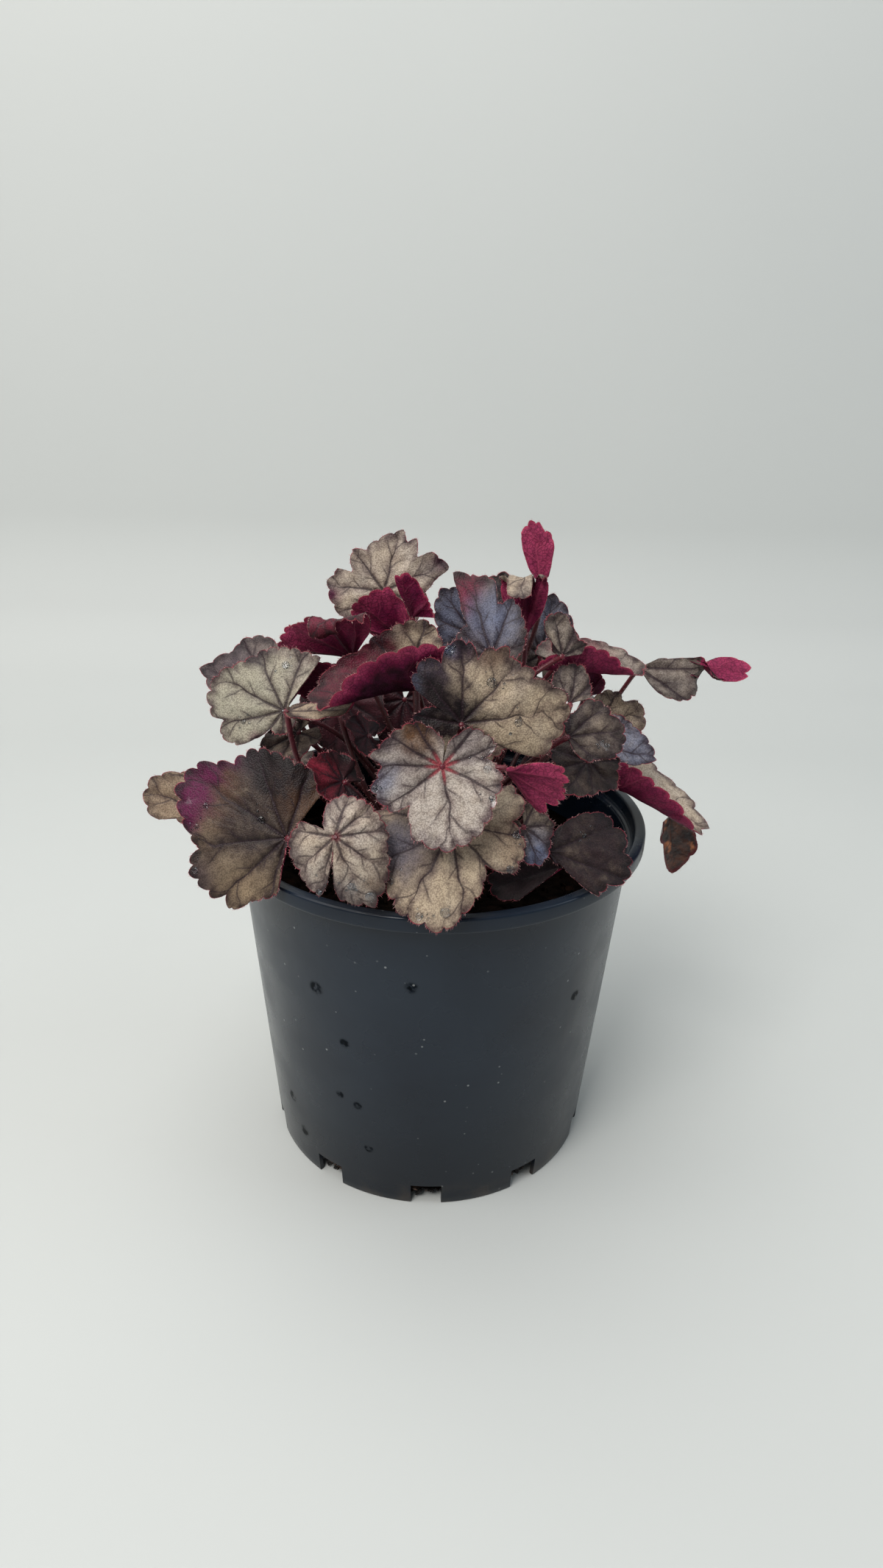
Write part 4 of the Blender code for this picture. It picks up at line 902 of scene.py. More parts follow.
def stalk_hairs(leaf, path):
    """Hairs about square to the stalk, clear of its two ends."""
    draw = np.random.default_rng(leaf["seed"] + 3)
    along, first, second = frames_along(path)
    run = np.linalg.norm(np.diff(path, axis=0), axis=1).sum()
    count = int(run * STALK_HAIRS_PER_MM)
    at = draw.uniform(3, len(path) - 3, count)
    low = at.astype(int)
    part = (at - low)[:, None]
    root = path[low] * (1 - part) + path[low + 1] * part
    turn = draw.uniform(0, 2 * math.pi, (count, 1))
    out = first[low] * np.cos(turn) + second[low] * np.sin(turn)
    direction = unit(out + along[low] * draw.normal(0.1, 0.3, (count, 1)))
    length = draw.uniform(*STALK_HAIR_LENGTHS, count)
    root = root + out * STALK_HAIR_OUT
    return spikes(root, direction, length, np.full(count, STALK_HAIR_WIDTH), draw)


hair_count = margin_hairs(leaves[0], *sample[:3])[0].shape[0] // 4
print("hairs along the front leaf's edge:", hair_count)

# %% [markdown]
# Everything enters Blender through one door: arrays of points and faces become a mesh, and the
# facts that colours need ride along as named attributes. Parts of one leaf are gathered first,
# so a leaf stays one object with several materials.

# %% From arrays to an object
class Gathered:
    """Points, faces and attributes collected for one object."""

    def __init__(self):
        self.points = []
        self.faces = []
        self.slots = []
        self.facts = {}
        self.total = 0

    def add(self, points, faces, slot, **facts):
        """Adds points and their faces, numbered from this part's first point."""
        for part in faces:
            rows = part if isinstance(part, list) else part.tolist()
            self.faces += [[corner + self.total for corner in row] for row in rows]
            self.slots += [slot] * len(rows)
        self.extend(points, **facts)

    def extend(self, points, **facts):
        """Adds points alone, with a value for each named fact."""
        for name, values in facts.items():
            whole = np.broadcast_to(np.asarray(values, np.float32), (len(points),))
            self.facts.setdefault(name, []).append((self.total, whole))
        self.points.append(points)
        self.total += len(points)

    def object(self, name, materials, sharp=55):
        """Makes the mesh object, in metres, shaded smooth but for edges sharper than given."""
        mesh = bpy.data.meshes.new(name)
        mesh.from_pydata(np.concatenate(self.points) * MM, [], self.faces)
        for fact, parts in self.facts.items():
            whole = np.zeros(self.total, np.float32)
            for start, values in parts:
                whole[start:start + len(values)] = values
            mesh.attributes.new(fact, "FLOAT", "POINT").data.foreach_set("value", whole)
        for material in materials:
            mesh.materials.append(material)
        mesh.polygons.foreach_set("material_index", self.slots)
        mesh.shade_smooth()
        mesh.set_sharp_from_angle(angle=math.radians(sharp))
        made = bpy.data.objects.new(name, mesh)
        bpy.context.scene.collection.objects.link(made)
        return made


print("objects will be gathered from arrays")

# %% [markdown]
# Materials are built from nodes, and most of them need the same few: arithmetic, a soft step
# between two limits, a mix of two colours, and textures. A small helper gives each a short word,
# so that a material reads like a recipe. A socket or a plain number can stand for any input.

# %% Short words for shader nodes
class Recipe:
    """Adds nodes to one tree and links them."""

    def __init__(self, tree):
        self.tree = tree

    def node(self, kind, inputs=(), **settings):
        """A node with its settings, and its inputs given by name or number."""
        made = self.tree.nodes.new("ShaderNode" + kind)
        for key, value in settings.items():
            setattr(made, key, value)
        for key, value in dict(inputs).items():
            if isinstance(value, bpy.types.NodeSocket):
                self.tree.links.new(value, made.inputs[key])
            elif isinstance(value, tuple) and len(value) == 3 and made.inputs[key].type == "RGBA":
                made.inputs[key].default_value = (*value, 1.0)
            else:
                made.inputs[key].default_value = value
        return made

    def maths(self, operation, *terms):
        """One sum, product or other operation on numbers."""
        return self.node("Math", enumerate(terms), operation=operation).outputs[0]

    def step(self, value, low, high, first=0.0, last=1.0):
        """Goes smoothly from first to last as value goes from low to high."""
        inputs = {0: value, 1: low, 2: high, 3: first, 4: last}
        return self.node("MapRange", inputs, interpolation_type="SMOOTHSTEP").outputs[0]

    def mix(self, share, first, second, blend="MIX"):
        """A colour between two colours."""
        inputs = {0: share, 6: first, 7: second}
        return self.node("Mix", inputs, data_type="RGBA", blend_type=blend).outputs[2]

    def noise(self, place, scale, detail=3.0):
        """Cloudy values round a half."""
        inputs = {"Vector": place, "Scale": scale, "Detail": detail}
        return self.node("TexNoise", inputs).outputs[0]

    def cells(self, place, scale, feature="F1"):
        """Distance to scattered points, or to the edges between their cells."""
        inputs = {"Vector": place, "Scale": scale}
        return self.node("TexVoronoi", inputs, feature=feature).outputs["Distance"]

    def fact(self, name):
        """One of the numbers that ride on the mesh."""
        return self.node("Attribute", attribute_name=name).outputs["Fac"]

    def flat_place(self):
        """The place in the leaf's own plane, in millimetres."""
        inputs = {0: self.fact("flat_x"), 1: self.fact("flat_y")}
        return self.node("CombineXYZ", inputs).outputs[0]

    def object_place(self):
        """The place on the object, in metres."""
        return self.node("TexCoord").outputs["Object"]


def new_group(name, inputs, outputs):
    """An empty node group with named sockets, and a recipe to fill it."""
    tree = bpy.data.node_groups.new(name, "ShaderNodeTree")
    for socket, kind in inputs:
        tree.interface.new_socket(socket, in_out="INPUT", socket_type="NodeSocket" + kind)
    for socket, kind in outputs:
        tree.interface.new_socket(socket, in_out="OUTPUT", socket_type="NodeSocket" + kind)
    entry = tree.nodes.new("NodeGroupInput")
    leave = tree.nodes.new("NodeGroupOutput")
    return tree, Recipe(tree), entry.outputs, leave.inputs


def give(recipe, socket, value):
    """Links a value to an input."""
    recipe.tree.links.new(value, socket)


def new_material(name, **sockets):
    """A material whose surface is one Principled shader with these plain values."""
    made = bpy.data.materials.new(name)
    made.use_nodes = True
    shader = made.node_tree.nodes["Principled BSDF"]
    for key, value in sockets.items():
        shader.inputs[key.replace("_", " ")].default_value = value
    return made, Recipe(made.node_tree), shader.inputs


print("recipes are ready")

# %% [markdown]
# The dark veins are what make a heuchera leaf. Main veins fan out from the joint, one for each
# lobe, and each forks to both sides on its way out; between them runs a fine web. An image could
# hold all this, but the mesh already knows how far each point lies from its nearest main vein,
# so the lines can be worked out exactly, and stay crisp however close the camera comes.

# %% Vein web, a node group for both sides of a leaf
FORK_PITCH = 0.31
FORK_LEAN = 1.15
FORK_STAGGER = 0.22
FORK_SQUARE = 0.65
VEIN_AT_JOINT = 0.46
VEIN_THINNING = -0.34
VEIN_THINNEST = 0.12

vein_web, cook, given, result = new_group(
    "vein web",
    (("Vein Number", "Float"), ("Vein Gap", "Float"), ("Reach", "Float"),
     ("Leaf Length", "Float"), ("Flat Place", "Vector"), ("Web Scale", "Float")),
    (("Core", "Float"), ("Halo", "Float"), ("Web", "Float")),
)
share = cook.maths("DIVIDE", given["Reach"], given["Leaf Length"])
wander = cook.maths("SUBTRACT", cook.noise(given["Flat Place"], 0.12, 1.0), 0.5)
wander = cook.maths("MULTIPLY", wander, cook.maths("MULTIPLY", share, 0.6))
number = cook.maths("ADD", given["Vein Number"], wander)
offset = cook.maths("SUBTRACT", number, cook.maths("ROUND", number))
beside = cook.maths("MULTIPLY", cook.maths("ABSOLUTE", offset), given["Vein Gap"])
half = cook.maths("MULTIPLY_ADD", share, VEIN_THINNING, VEIN_AT_JOINT)
half = cook.maths("MAXIMUM", half, VEIN_THINNEST)
main = cook.step(cook.maths("DIVIDE", beside, half), 0.4, 1.5, 1.0, 0.0)
main = cook.maths("MULTIPLY", main, cook.step(share, 0.62, 0.95, 1.0, 0.35))

pitch = cook.maths("MULTIPLY", given["Leaf Length"], FORK_PITCH)
along = cook.maths("MULTIPLY_ADD", beside, -FORK_LEAN, given["Reach"])
along = cook.maths("DIVIDE", along, pitch)
along = cook.maths("MULTIPLY_ADD", cook.maths("SIGN", offset), FORK_STAGGER, along)
fork = cook.maths("ABSOLUTE", cook.maths("SUBTRACT", along, cook.maths("ROUND", along)))
fork = cook.maths("MULTIPLY", cook.maths("MULTIPLY", fork, pitch), FORK_SQUARE)
inside = cook.step(along, 0.55, 0.7)
ends = cook.step(cook.maths("ABSOLUTE", offset), 0.22, 0.44, 1.0, 0.0)
inside = cook.maths("MULTIPLY", inside, ends)
branch = cook.maths("MULTIPLY", cook.step(fork, 0.08, 0.34, 1.0, 0.0), inside)
give(cook, result["Core"], cook.maths("MAXIMUM", main, cook.maths("MULTIPLY", branch, 0.75)))

near_main = cook.step(beside, 0.0, 2.6, 1.0, 0.0)
near_fork = cook.maths("MULTIPLY", cook.step(fork, 0.0, 1.5, 0.7, 0.0), inside)
give(cook, result["Halo"], cook.maths("MAXIMUM", near_main, near_fork))
web = cook.cells(given["Flat Place"], given["Web Scale"], "DISTANCE_TO_EDGE")
give(cook, result["Web"], cook.step(web, 0.02, 0.11, 1.0, 0.0))
print("vein web:", len(vein_web.nodes), "nodes")


def veins_of(recipe, web_scale):
    """The vein web, fed with the facts of the leaf."""
    inputs = {
        "Vein Number": recipe.fact("vein_number"), "Vein Gap": recipe.fact("vein_gap"),
        "Reach": recipe.fact("reach"), "Leaf Length": recipe.fact("leaf_length"),
        "Flat Place": recipe.flat_place(), "Web Scale": web_scale,
    }
    return recipe.node("Group", inputs, node_tree=vein_web).outputs


# %% [markdown]
# The upper side is laid down like a watercolour: silvery tan, dusk together with painted shade,
# washes, darkness gathering round the veins and along the margin, then the veins and the crimson
# rim. The dark wash is partly painted shade, and the blue wash partly a painted sheen. Over it
# all lies a pebbled grain, because the skin of the leaf stands up in tiny cushions between its
# finest veins, with painted shade in the creases between them. Each layer is a mix with its own
# mask, in the order that a painter would use, so one layer can be retuned alone.

# %% Upper side of the leaves
PEBBLES_PER_MM = 2.3
PORES_PER_MM = 1.15
TAN = (0.53, 0.42, 0.295)
SILVER = (0.53, 0.465, 0.41)
# The dusky colour below is partly the leaves' own and partly painted shade on the lower and inner
# leaves.
DUSK_AND_SHADE = (0.026, 0.0125, 0.0145)
VEIN = (0.022, 0.010, 0.015)
BROWN_MOTTLE = (0.26, 0.19, 0.14)
RED_VEIN = (0.30, 0.016, 0.035)
RIM_BROWN = (0.055, 0.014, 0.020)
RIM_CRIMSON = (0.22, 0.020, 0.038)
WASHES = {
    "olive": (0.33, 0.32, 0.24), "tan": (0.33, 0.24, 0.15), "purple": (0.060, 0.038, 0.056),
    # Dark: partly the leaves' own dark colour, partly painted shade.
    "brown": (0.13, 0.062, 0.03), "dark_and_shade": (0.013, 0.006, 0.007), "wine": (0.15, 0.007, 0.030),
    # Blue: partly a bluish cast of the leaf, partly a painted sheen.
    "blue": (0.16, 0.185, 0.28), "magenta": (0.105, 0.005, 0.048), "red": (0.32, 0.018, 0.045),
}
SHADE = {
    "beside veins": (0.26, 0.20, 0.24), "along the margin": (0.17, 0.11, 0.15),
    "between pebbles": (0.12, 0.09, 0.09), "pores": (0.20, 0.13, 0.10),
}

upper, cook, shader = new_material("leaf_upper", Coat_Roughness=0.12, Specular_IOR_Level=0.24)
flat = cook.flat_place()
cloud = cook.noise(flat, 0.11, 2.0)
mottle = cook.noise(flat, 0.42, 3.0)
veins = veins_of(cook, 0.42)
silver = cook.maths("MULTIPLY_ADD", cloud, 0.9, cook.maths("SUBTRACT", cook.fact("silver"), 0.45))
colour = cook.mix(cook.step(silver, 0.0, 1.0), TAN, SILVER)
colour = cook.mix(cook.step(mottle, 0.35, 0.75, 0.0, 0.4), colour, BROWN_MOTTLE)
# Dusk: partly the leaf's own dusky colour, partly painted shade on the lower and inner leaves.
dusk_and_shade = cook.maths("MULTIPLY_ADD", cloud, 0.6, cook.maths("SUBTRACT", cook.fact("dusk_and_shade"), 0.3))
dusk_and_shade = cook.maths("MULTIPLY_ADD", mottle, 0.3, cook.maths("SUBTRACT", dusk_and_shade, 0.15))
colour = cook.mix(cook.step(dusk_and_shade, 0.0, 1.0), colour, DUSK_AND_SHADE)
# Each wash in turn; the dark one is partly painted shade, the blue one partly a painted sheen.
for kind, tint in WASHES.items():
    strength = cook.maths("MULTIPLY", cook.fact(kind), cook.step(mottle, 0.25, 0.55, 0.85, 1.0))
    colour = cook.mix(strength, colour, tint)
halo = cook.maths("MULTIPLY", veins["Halo"], cook.step(mottle, 0.3, 0.7, 0.35, 0.8))
colour = cook.mix(halo, colour, SHADE["beside veins"], "MULTIPLY")
margin = cook.step(cook.fact("rim"), 0.3, 4.8, 0.95, 0.0)
patchy = cook.step(cook.noise(flat, 0.28), 0.32, 0.62, 0.25, 1.0)
margin = cook.maths("MULTIPLY", margin, patchy)
colour = cook.mix(margin, colour, SHADE["along the margin"], "MULTIPLY")
redness = cook.maths("SUBTRACT", cook.fact("reach"), cook.fact("heart"))
redness = cook.step(redness, -2.5, 1.0, 1.0, 0.0)
core = cook.mix(redness, VEIN, RED_VEIN)
colour = cook.mix(cook.maths("MULTIPLY", veins["Core"], 0.8), colour, core)
pebble = cook.cells(flat, PEBBLES_PER_MM)
gaps = cook.step(pebble, 0.36, 0.72, 0.0, 0.40)
colour = cook.mix(gaps, colour, SHADE["between pebbles"], "MULTIPLY")
pore = cook.step(cook.cells(flat, PORES_PER_MM), 0.10, 0.20, 0.55, 0.0)
colour = cook.mix(pore, colour, SHADE["pores"], "MULTIPLY")
redder = cook.step(cook.noise(flat, 0.2, 1.0), 0.36, 0.62)
rim = cook.mix(redder, RIM_BROWN, RIM_CRIMSON)
colour = cook.mix(cook.step(cook.fact("rim"), 0.08, 0.34, 0.9, 0.0), colour, rim)
give(cook, shader["Base Color"], colour)
wet = cook.fact("wet")
give(cook, shader["Roughness"], cook.step(wet, 0.1, 0.8, 0.5, 0.16))
give(cook, shader["Coat Weight"], cook.step(wet, 0.05, 0.6, 0.0, 0.9))
relief = cook.maths("MULTIPLY_ADD", pore, -0.5, cook.maths("MULTIPLY", pebble, -1.0))
relief = cook.maths("MULTIPLY_ADD", veins["Core"], -0.4, relief)
bump = cook.node("Bump", {"Strength": 0.42, "Distance": 0.0003, "Height": relief})
give(cook, shader["Normal"], bump.outputs[0])
print("leaf_upper:", len(upper.node_tree.nodes), "nodes")

# %% [markdown]
# The underside is wine red with a fine dark net; painted shade makes it darkest far inside, and
# painted light brighter towards the rim. Thin parts that face the light glow magenta on the real
# plant. Real transmission is slow and is lost in an export, so the glow is painted: each leaf
# says how strongly light shines through it, and how quickly that fades towards the joint. The
# veins and the rim also go from an unlit to a lit red with this painted glow.

# %% Underside of the leaves
WINE_UNLIT = (0.014, 0.0012, 0.005)
WINE = (0.13, 0.006, 0.036)
WINE_LIT = (0.35, 0.042, 0.108)
WINE_MOTTLE = (0.085, 0.008, 0.040)
WINE_BESIDE_VEINS = (0.07, 0.004, 0.018)
WINE_NET = (0.026, 0.002, 0.010)
RED_VEINS_UNLIT_AND_LIT = (0.05, 0.004, 0.014), (0.36, 0.05, 0.11)
RED_RIMS_UNLIT_AND_LIT = (0.13, 0.012, 0.03), (0.42, 0.045, 0.10)

underside, cook, shader = new_material("leaf_underside", Roughness=0.55, Specular_IOR_Level=0.12)
flat = cook.flat_place()
veins = veins_of(cook, 0.85)
cloud = cook.noise(flat, 0.13, 2.0)
share = cook.maths("DIVIDE", cook.fact("rim"), cook.fact("leaf_length"))
share = cook.maths("SUBTRACT", 0.4, share)
glow = cook.maths("MULTIPLY_ADD", share, cook.fact("fade"), cook.fact("glow"))
glow = cook.maths("MULTIPLY_ADD", cloud, 0.6, cook.maths("SUBTRACT", glow, 0.3))
colour = cook.mix(cook.step(glow, 0.0, 0.55), WINE_UNLIT, WINE)
colour = cook.mix(cook.step(glow, 0.45, 1.05), colour, WINE_LIT)
mottle = cook.step(cook.noise(flat, 0.35), 0.4, 0.7, 0.0, 0.4)
colour = cook.mix(mottle, colour, WINE_MOTTLE)
colour = cook.mix(cook.maths("MULTIPLY", veins["Halo"], 0.3), colour, WINE_BESIDE_VEINS)
colour = cook.mix(cook.maths("MULTIPLY", veins["Web"], 0.5), colour, WINE_NET)
# Painted light: the veins and the rim turn from an unlit to a lit red as the glow rises.
glowing_red_vein = cook.mix(cook.step(glow, 0.2, 0.9), *RED_VEINS_UNLIT_AND_LIT)
colour = cook.mix(cook.maths("MULTIPLY", veins["Core"], 0.55), colour, glowing_red_vein)
glowing_red_rim = cook.mix(cook.step(glow, 0.0, 0.8), *RED_RIMS_UNLIT_AND_LIT)
colour = cook.mix(cook.step(cook.fact("rim"), 0.1, 1.1, 0.7, 0.0), colour, glowing_red_rim)
give(cook, shader["Base Color"], colour)
relief = cook.maths("ADD", veins["Core"], cook.maths("MULTIPLY", veins["Web"], 0.5))
relief = cook.maths("MULTIPLY_ADD", cook.cells(flat, PEBBLES_PER_MM), 0.5, relief)
bump = cook.node("Bump", {"Strength": 0.5, "Distance": 0.0003, "Height": relief})
give(cook, shader["Normal"], bump.outputs[0])
print("leaf_underside:", len(underside.node_tree.nodes), "nodes")

# %% [markdown]
# The dead leaf has lost its pigment. It is dry, brown and creased, with a wine-red edge and a
# few orange patches of painted light, where it is still thin enough for light to come through.
# One recipe serves both sides.

# %% Dead leaf
DRY_SHADOW = (0.014, 0.005, 0.004)
DRY_BROWN = (0.11, 0.032, 0.014)
DRY_ORANGE_LIGHT = (0.42, 0.14, 0.05)
DRY_VEIN = (0.012, 0.004, 0.003)
DRY_RIM = (0.12, 0.008, 0.014)

dry, cook, shader = new_material("leaf_dry_skin", Roughness=0.33)
flat = cook.flat_place()
colour = cook.mix(cook.step(cook.noise(flat, 0.2), 0.35, 0.65), DRY_SHADOW, DRY_BROWN)
# Painted light: orange patches as if light shone through thin parts.
colour = cook.mix(cook.step(cook.noise(flat, 0.17), 0.56, 0.68), colour, DRY_ORANGE_LIGHT)
veins = veins_of(cook, 0.6)
colour = cook.mix(cook.maths("MULTIPLY", veins["Core"], 0.7), colour, DRY_VEIN)
colour = cook.mix(cook.step(cook.fact("rim"), 0.3, 2.0, 0.75, 0.0), colour, DRY_RIM)
give(cook, shader["Base Color"], colour)
creases = cook.noise(flat, 0.6, 5.0)
bump = cook.node("Bump", {"Strength": 0.8, "Distance": 0.0006, "Height": creases})
give(cook, shader["Normal"], bump.outputs[0])
print("leaf_dry_skin:", len(dry.node_tree.nodes), "nodes")

# %% [markdown]
# Stalks go from brown where they leave the crown to red under the blade. Their skin is finely
# streaked along its length, which the share of the way up the stalk can steer.

# %% Stalks and hairs
STALK_FOOT = (0.012, 0.005, 0.004)
STALK_MIDDLE = (0.055, 0.010, 0.012)
STALK_TOP = (0.13, 0.010, 0.024)
STALK_DRY = (0.42, 0.27, 0.15)
STALK_STREAK = (0.04, 0.012, 0.012)
HAIR_RED = (0.45, 0.11, 0.13)
HAIR_PALE = (0.66, 0.42, 0.40)

stalk_skin, cook, shader = new_material("stalk_skin", Roughness=0.4)
place = cook.object_place()
colour = cook.mix(cook.step(cook.fact("rise"), 0.0, 0.3), STALK_FOOT, STALK_MIDDLE)
colour = cook.mix(cook.step(cook.fact("rise"), 0.6, 1.0, 0.0, 0.85), colour, STALK_TOP)
colour = cook.mix(cook.fact("dryness"), colour, STALK_DRY)
streak = cook.step(cook.noise(place, 900.0, 4.0), 0.35, 0.7, 0.0, 0.45)
colour = cook.mix(streak, colour, STALK_STREAK)
give(cook, shader["Base Color"], colour)
bump = cook.node("Bump", {"Strength": 0.4, "Distance": 0.0003, "Height": streak})
give(cook, shader["Normal"], bump.outputs[0])

hair, cook, shader = new_material("hair", Roughness=0.5)
tone = cook.step(cook.noise(cook.object_place(), 350.0), 0.35, 0.65)
give(cook, shader["Base Color"], cook.mix(tone, HAIR_RED, HAIR_PALE))
print("stalk_skin:", len(stalk_skin.node_tree.nodes), "nodes, hair:", len(hair.node_tree.nodes))

# %% [markdown]
# Now every row of the table becomes a leaf: skin, stalk and hairs gathered in one object that
# stands for the plain solid of the same name. The solid stays in the model for collision, and
# only its look is replaced, so the two keep the same place and form. Each leaf takes its mottling
# from another part of the pattern, so that no two are alike.

# %% Growing the leaves
TINTS = (*WASHES, "wet")
PER_LEAF = ("heart", "dusk_and_shade", "silver", "glow", "fade")
PATTERN_SHIFT = 61.0
PATTERN_SHIFTS = 37

skins = {}
triangles = 0
for leaf in leaves:
    top, under, normal, facts = skin_grid(leaf)
    x, y = facts["flat_x"], facts["flat_y"]
    skins[leaf["short"]] = leaf, top, normal, x, y
    facts.update({kind: wash_strength(leaf, kind, x, y) for kind in TINTS})
    facts.update({key: np.full(x.shape, leaf[key]) for key in PER_LEAF})
    facts["leaf_length"] = np.full(x.shape, leaf["length"])
    facts["flat_x"] = x + PATTERN_SHIFT * (leaf["seed"] % PATTERN_SHIFTS)
    both = {key: np.tile(np.ravel(values), 2) for key, values in facts.items()}
    upper_faces, lower_faces, edge_faces = skin_faces(*top.shape[:2])
    gathered = Gathered()
    points = np.concatenate((top.reshape(-1, 3), under.reshape(-1, 3)))
    gathered.add(points, (upper_faces,), 0, **both)
    for faces, slot in ((lower_faces, 1), (edge_faces, 0)):
        gathered.faces += faces.tolist()
        gathered.slots += [slot] * len(faces)

    is_dry = leaf["colour"] == "dry"
    path = stalk_path(leaf, STALK_SHARE)
    walls_points, walls, caps = tube(path, stalk_radius(STALK_SHARE), STALK_SIDES)
    rise = np.repeat(STALK_SHARE, STALK_SIDES)
    gathered.add(walls_points, (walls, caps), 2, rise=rise, dryness=float(is_dry))
    for points, faces in (margin_hairs(leaf, top, under, normal), stalk_hairs(leaf, path)):
        gathered.add(points, (faces,), 3)

    slots = (dry if is_dry else upper, dry if is_dry else underside, stalk_skin, hair)
    piece = gathered.object("fine_" + leaf["name"], slots)
    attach(piece, "root")
    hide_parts(leaf["name"])
    triangles += sum(len(face) - 2 for face in gathered.faces)
print(len(leaves), "leaves,", triangles, "triangles")

# %% [markdown]
# The plant has been watered, so drops lie on the blades. Each is a low dome of clear water,
# pulled flat by its own weight. Larger ones sit where the photograph shows them, and fine
# spray is scattered round them. A dome is a ring turned about the leaf's own upright there.

# %% Water drops
DROPS = {
    "left_large": ((-10, 0.26, 1.3), (43, 0.89, 1.0), (5, 0.76, 0.9), (19, 0.80, 0.9)),
    "left_upper": ((-79, 0.5, 1.2), (26, 0.5, 0.9)),
    "right_large": ((-34, 0.57, 1.5), (-88, 0.71, 1.2), (14, 0.94, 1.6)),
    "front_low": (
        (-13, 0.94, 1.2), (2, 0.81, 1.5), (93, 0.67, 1.3), (-42, 0.76, 0.9), (60, 0.74, 1.2),
    ),
    "front_small": ((181, 1.34, 1.0), (-143, 1.18, 1.2), (-132, 1.49, 1.4)),
    "front_centre": ((-78, 0.81, 1.0), (82, 0.51, 1.1), (54, 0.71, 0.9)),
    "round_right": ((-16, 0.65, 0.9),),
    "low_right": ((30, 0.5, 0.8),),
}
SPRAY_EACH = 6
SPRAY_SPREAD = 2.6
SPRAY_SIZES = (0.18, 0.45)
DOME_RINGS = np.radians((90, 74, 56, 38, 20, 6))
DOME_SIDES = 12
DOME_LIFT = 0.42

draw = np.random.default_rng(61)
feet, uprights, sizes = [], [], []
for short, places in DROPS.items():
    leaf, top, normal, x, y = skins[short]
    for degrees, reach, radius in places:
        turn = math.radians(degrees)
        spot = np.array((math.cos(turn), math.sin(turn) * leaf["width"])) * reach * leaf["length"]
        spots = np.vstack((spot, spot + draw.normal(0, SPRAY_SPREAD, (SPRAY_EACH, 2))))
        far = np.hypot(x[None] - spots[:, 0, None, None], y[None] - spots[:, 1, None, None])
        nearest = far[:, :-2].reshape(len(spots), -1).argmin(axis=1)
        feet.append(top.reshape(-1, 3)[nearest])
        uprights.append(normal.reshape(-1, 3)[nearest])
        sizes.append(np.concatenate(((radius,), draw.uniform(*SPRAY_SIZES, SPRAY_EACH))))
feet, uprights, sizes = np.concatenate(feet), np.concatenate(uprights), np.concatenate(sizes)
uprights = unit(uprights)
first = unit(np.cross(uprights, (0.31, 0.22, 0.93)))
second = np.cross(uprights, first)
turn = np.linspace(0, 2 * math.pi, DOME_SIDES, endpoint=False)
ring = first[:, None] * np.cos(turn)[:, None] + second[:, None] * np.sin(turn)[:, None]
domes = (
    feet[:, None, None]
    + ring[:, None] * (sizes[:, None] * np.sin(DOME_RINGS))[..., None, None]
    + uprights[:, None, None] * (sizes[:, None] * DOME_LIFT * np.cos(DOME_RINGS))[..., None, None]
)
corner = np.arange(len(feet) * len(DOME_RINGS) * DOME_SIDES)
corner = corner.reshape(len(feet), len(DOME_RINGS), DOME_SIDES)
beside_it = np.roll(corner, -1, axis=2)
walls = np.stack((corner[:, :-1], beside_it[:, :-1], beside_it[:, 1:], corner[:, 1:]), -1)
lids = [*corner[:, -1].tolist(), *corner[:, 0, ::-1].tolist()]

water, cook, shader = new_material("water", Roughness=0.03, IOR=1.33, Transmission_Weight=1.0)
tint = cook.noise(cook.object_place(), 120.0)
give(cook, shader["Base Color"], cook.mix(tint, (0.88, 0.93, 1.0), (1.0, 1.0, 1.0)))
gathered = Gathered()
gathered.add(domes.reshape(-1, 3), (walls.reshape(-1, 4), lids), 0)
drops = gathered.object("water_drops", (water,))
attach(drops, "root")
print(len(feet), "drops,", len(gathered.faces), "faces")

# %% [markdown]
# The pot is thermoformed from black polypropylene sheet, so its wall is thin, its corners are
# soft and its rim is rolled outwards for stiffness. A closed outline of the wall, with rounded
# corners, is turned about the middle. Ten notches in the foot let water out; there the wall's
# faces are left out and the cut through its thickness is closed.

# %% Pot
POT_HEIGHT = 119.0
RIM_RADIUS = 70.0
BODY_TOP_RADIUS = 65.3
BASE_RADIUS = 55.6
SKIRT = POT_HEIGHT - 4.9
LEDGE = POT_HEIGHT - 4.6
WALL = 1.4
FLOOR_LEVELS = (3.0, 4.8)
NOTCH_HEIGHT = 8.0
NOTCHES = 10
COLUMNS_PER_NOTCH = 24
NOTCH_COLUMNS = 7
FOOT_ROWS = 5
NOTCH_RECESS = 2.4


def wall_radius(height):
    """The outer radius of the tapering wall."""
    return BASE_RADIUS + (BODY_TOP_RADIUS - BASE_RADIUS) * np.asarray(height) / SKIRT


def softened(outline, radius, steps=4):
    """Each corner of an open line is replaced by a small curve: a parabola between two points
    that lie one radius before and behind it, or halfway along a shorter side."""
    line = np.array(outline, float)
    before = line[:-2] - line[1:-1]
    behind = line[2:] - line[1:-1]
    back = unit(before) * np.minimum(radius, np.linalg.norm(before, axis=1) * 0.45)[:, None]
    on = unit(behind) * np.minimum(radius, np.linalg.norm(behind, axis=1) * 0.45)[:, None]
    t = np.linspace(0, 1, steps)[None, :, None]
    curves = line[1:-1, None] + back[:, None] * (1 - t) ** 2 + on[:, None] * t**2
    return np.concatenate((line[:1], curves.reshape(-1, 2), line[-1:]))


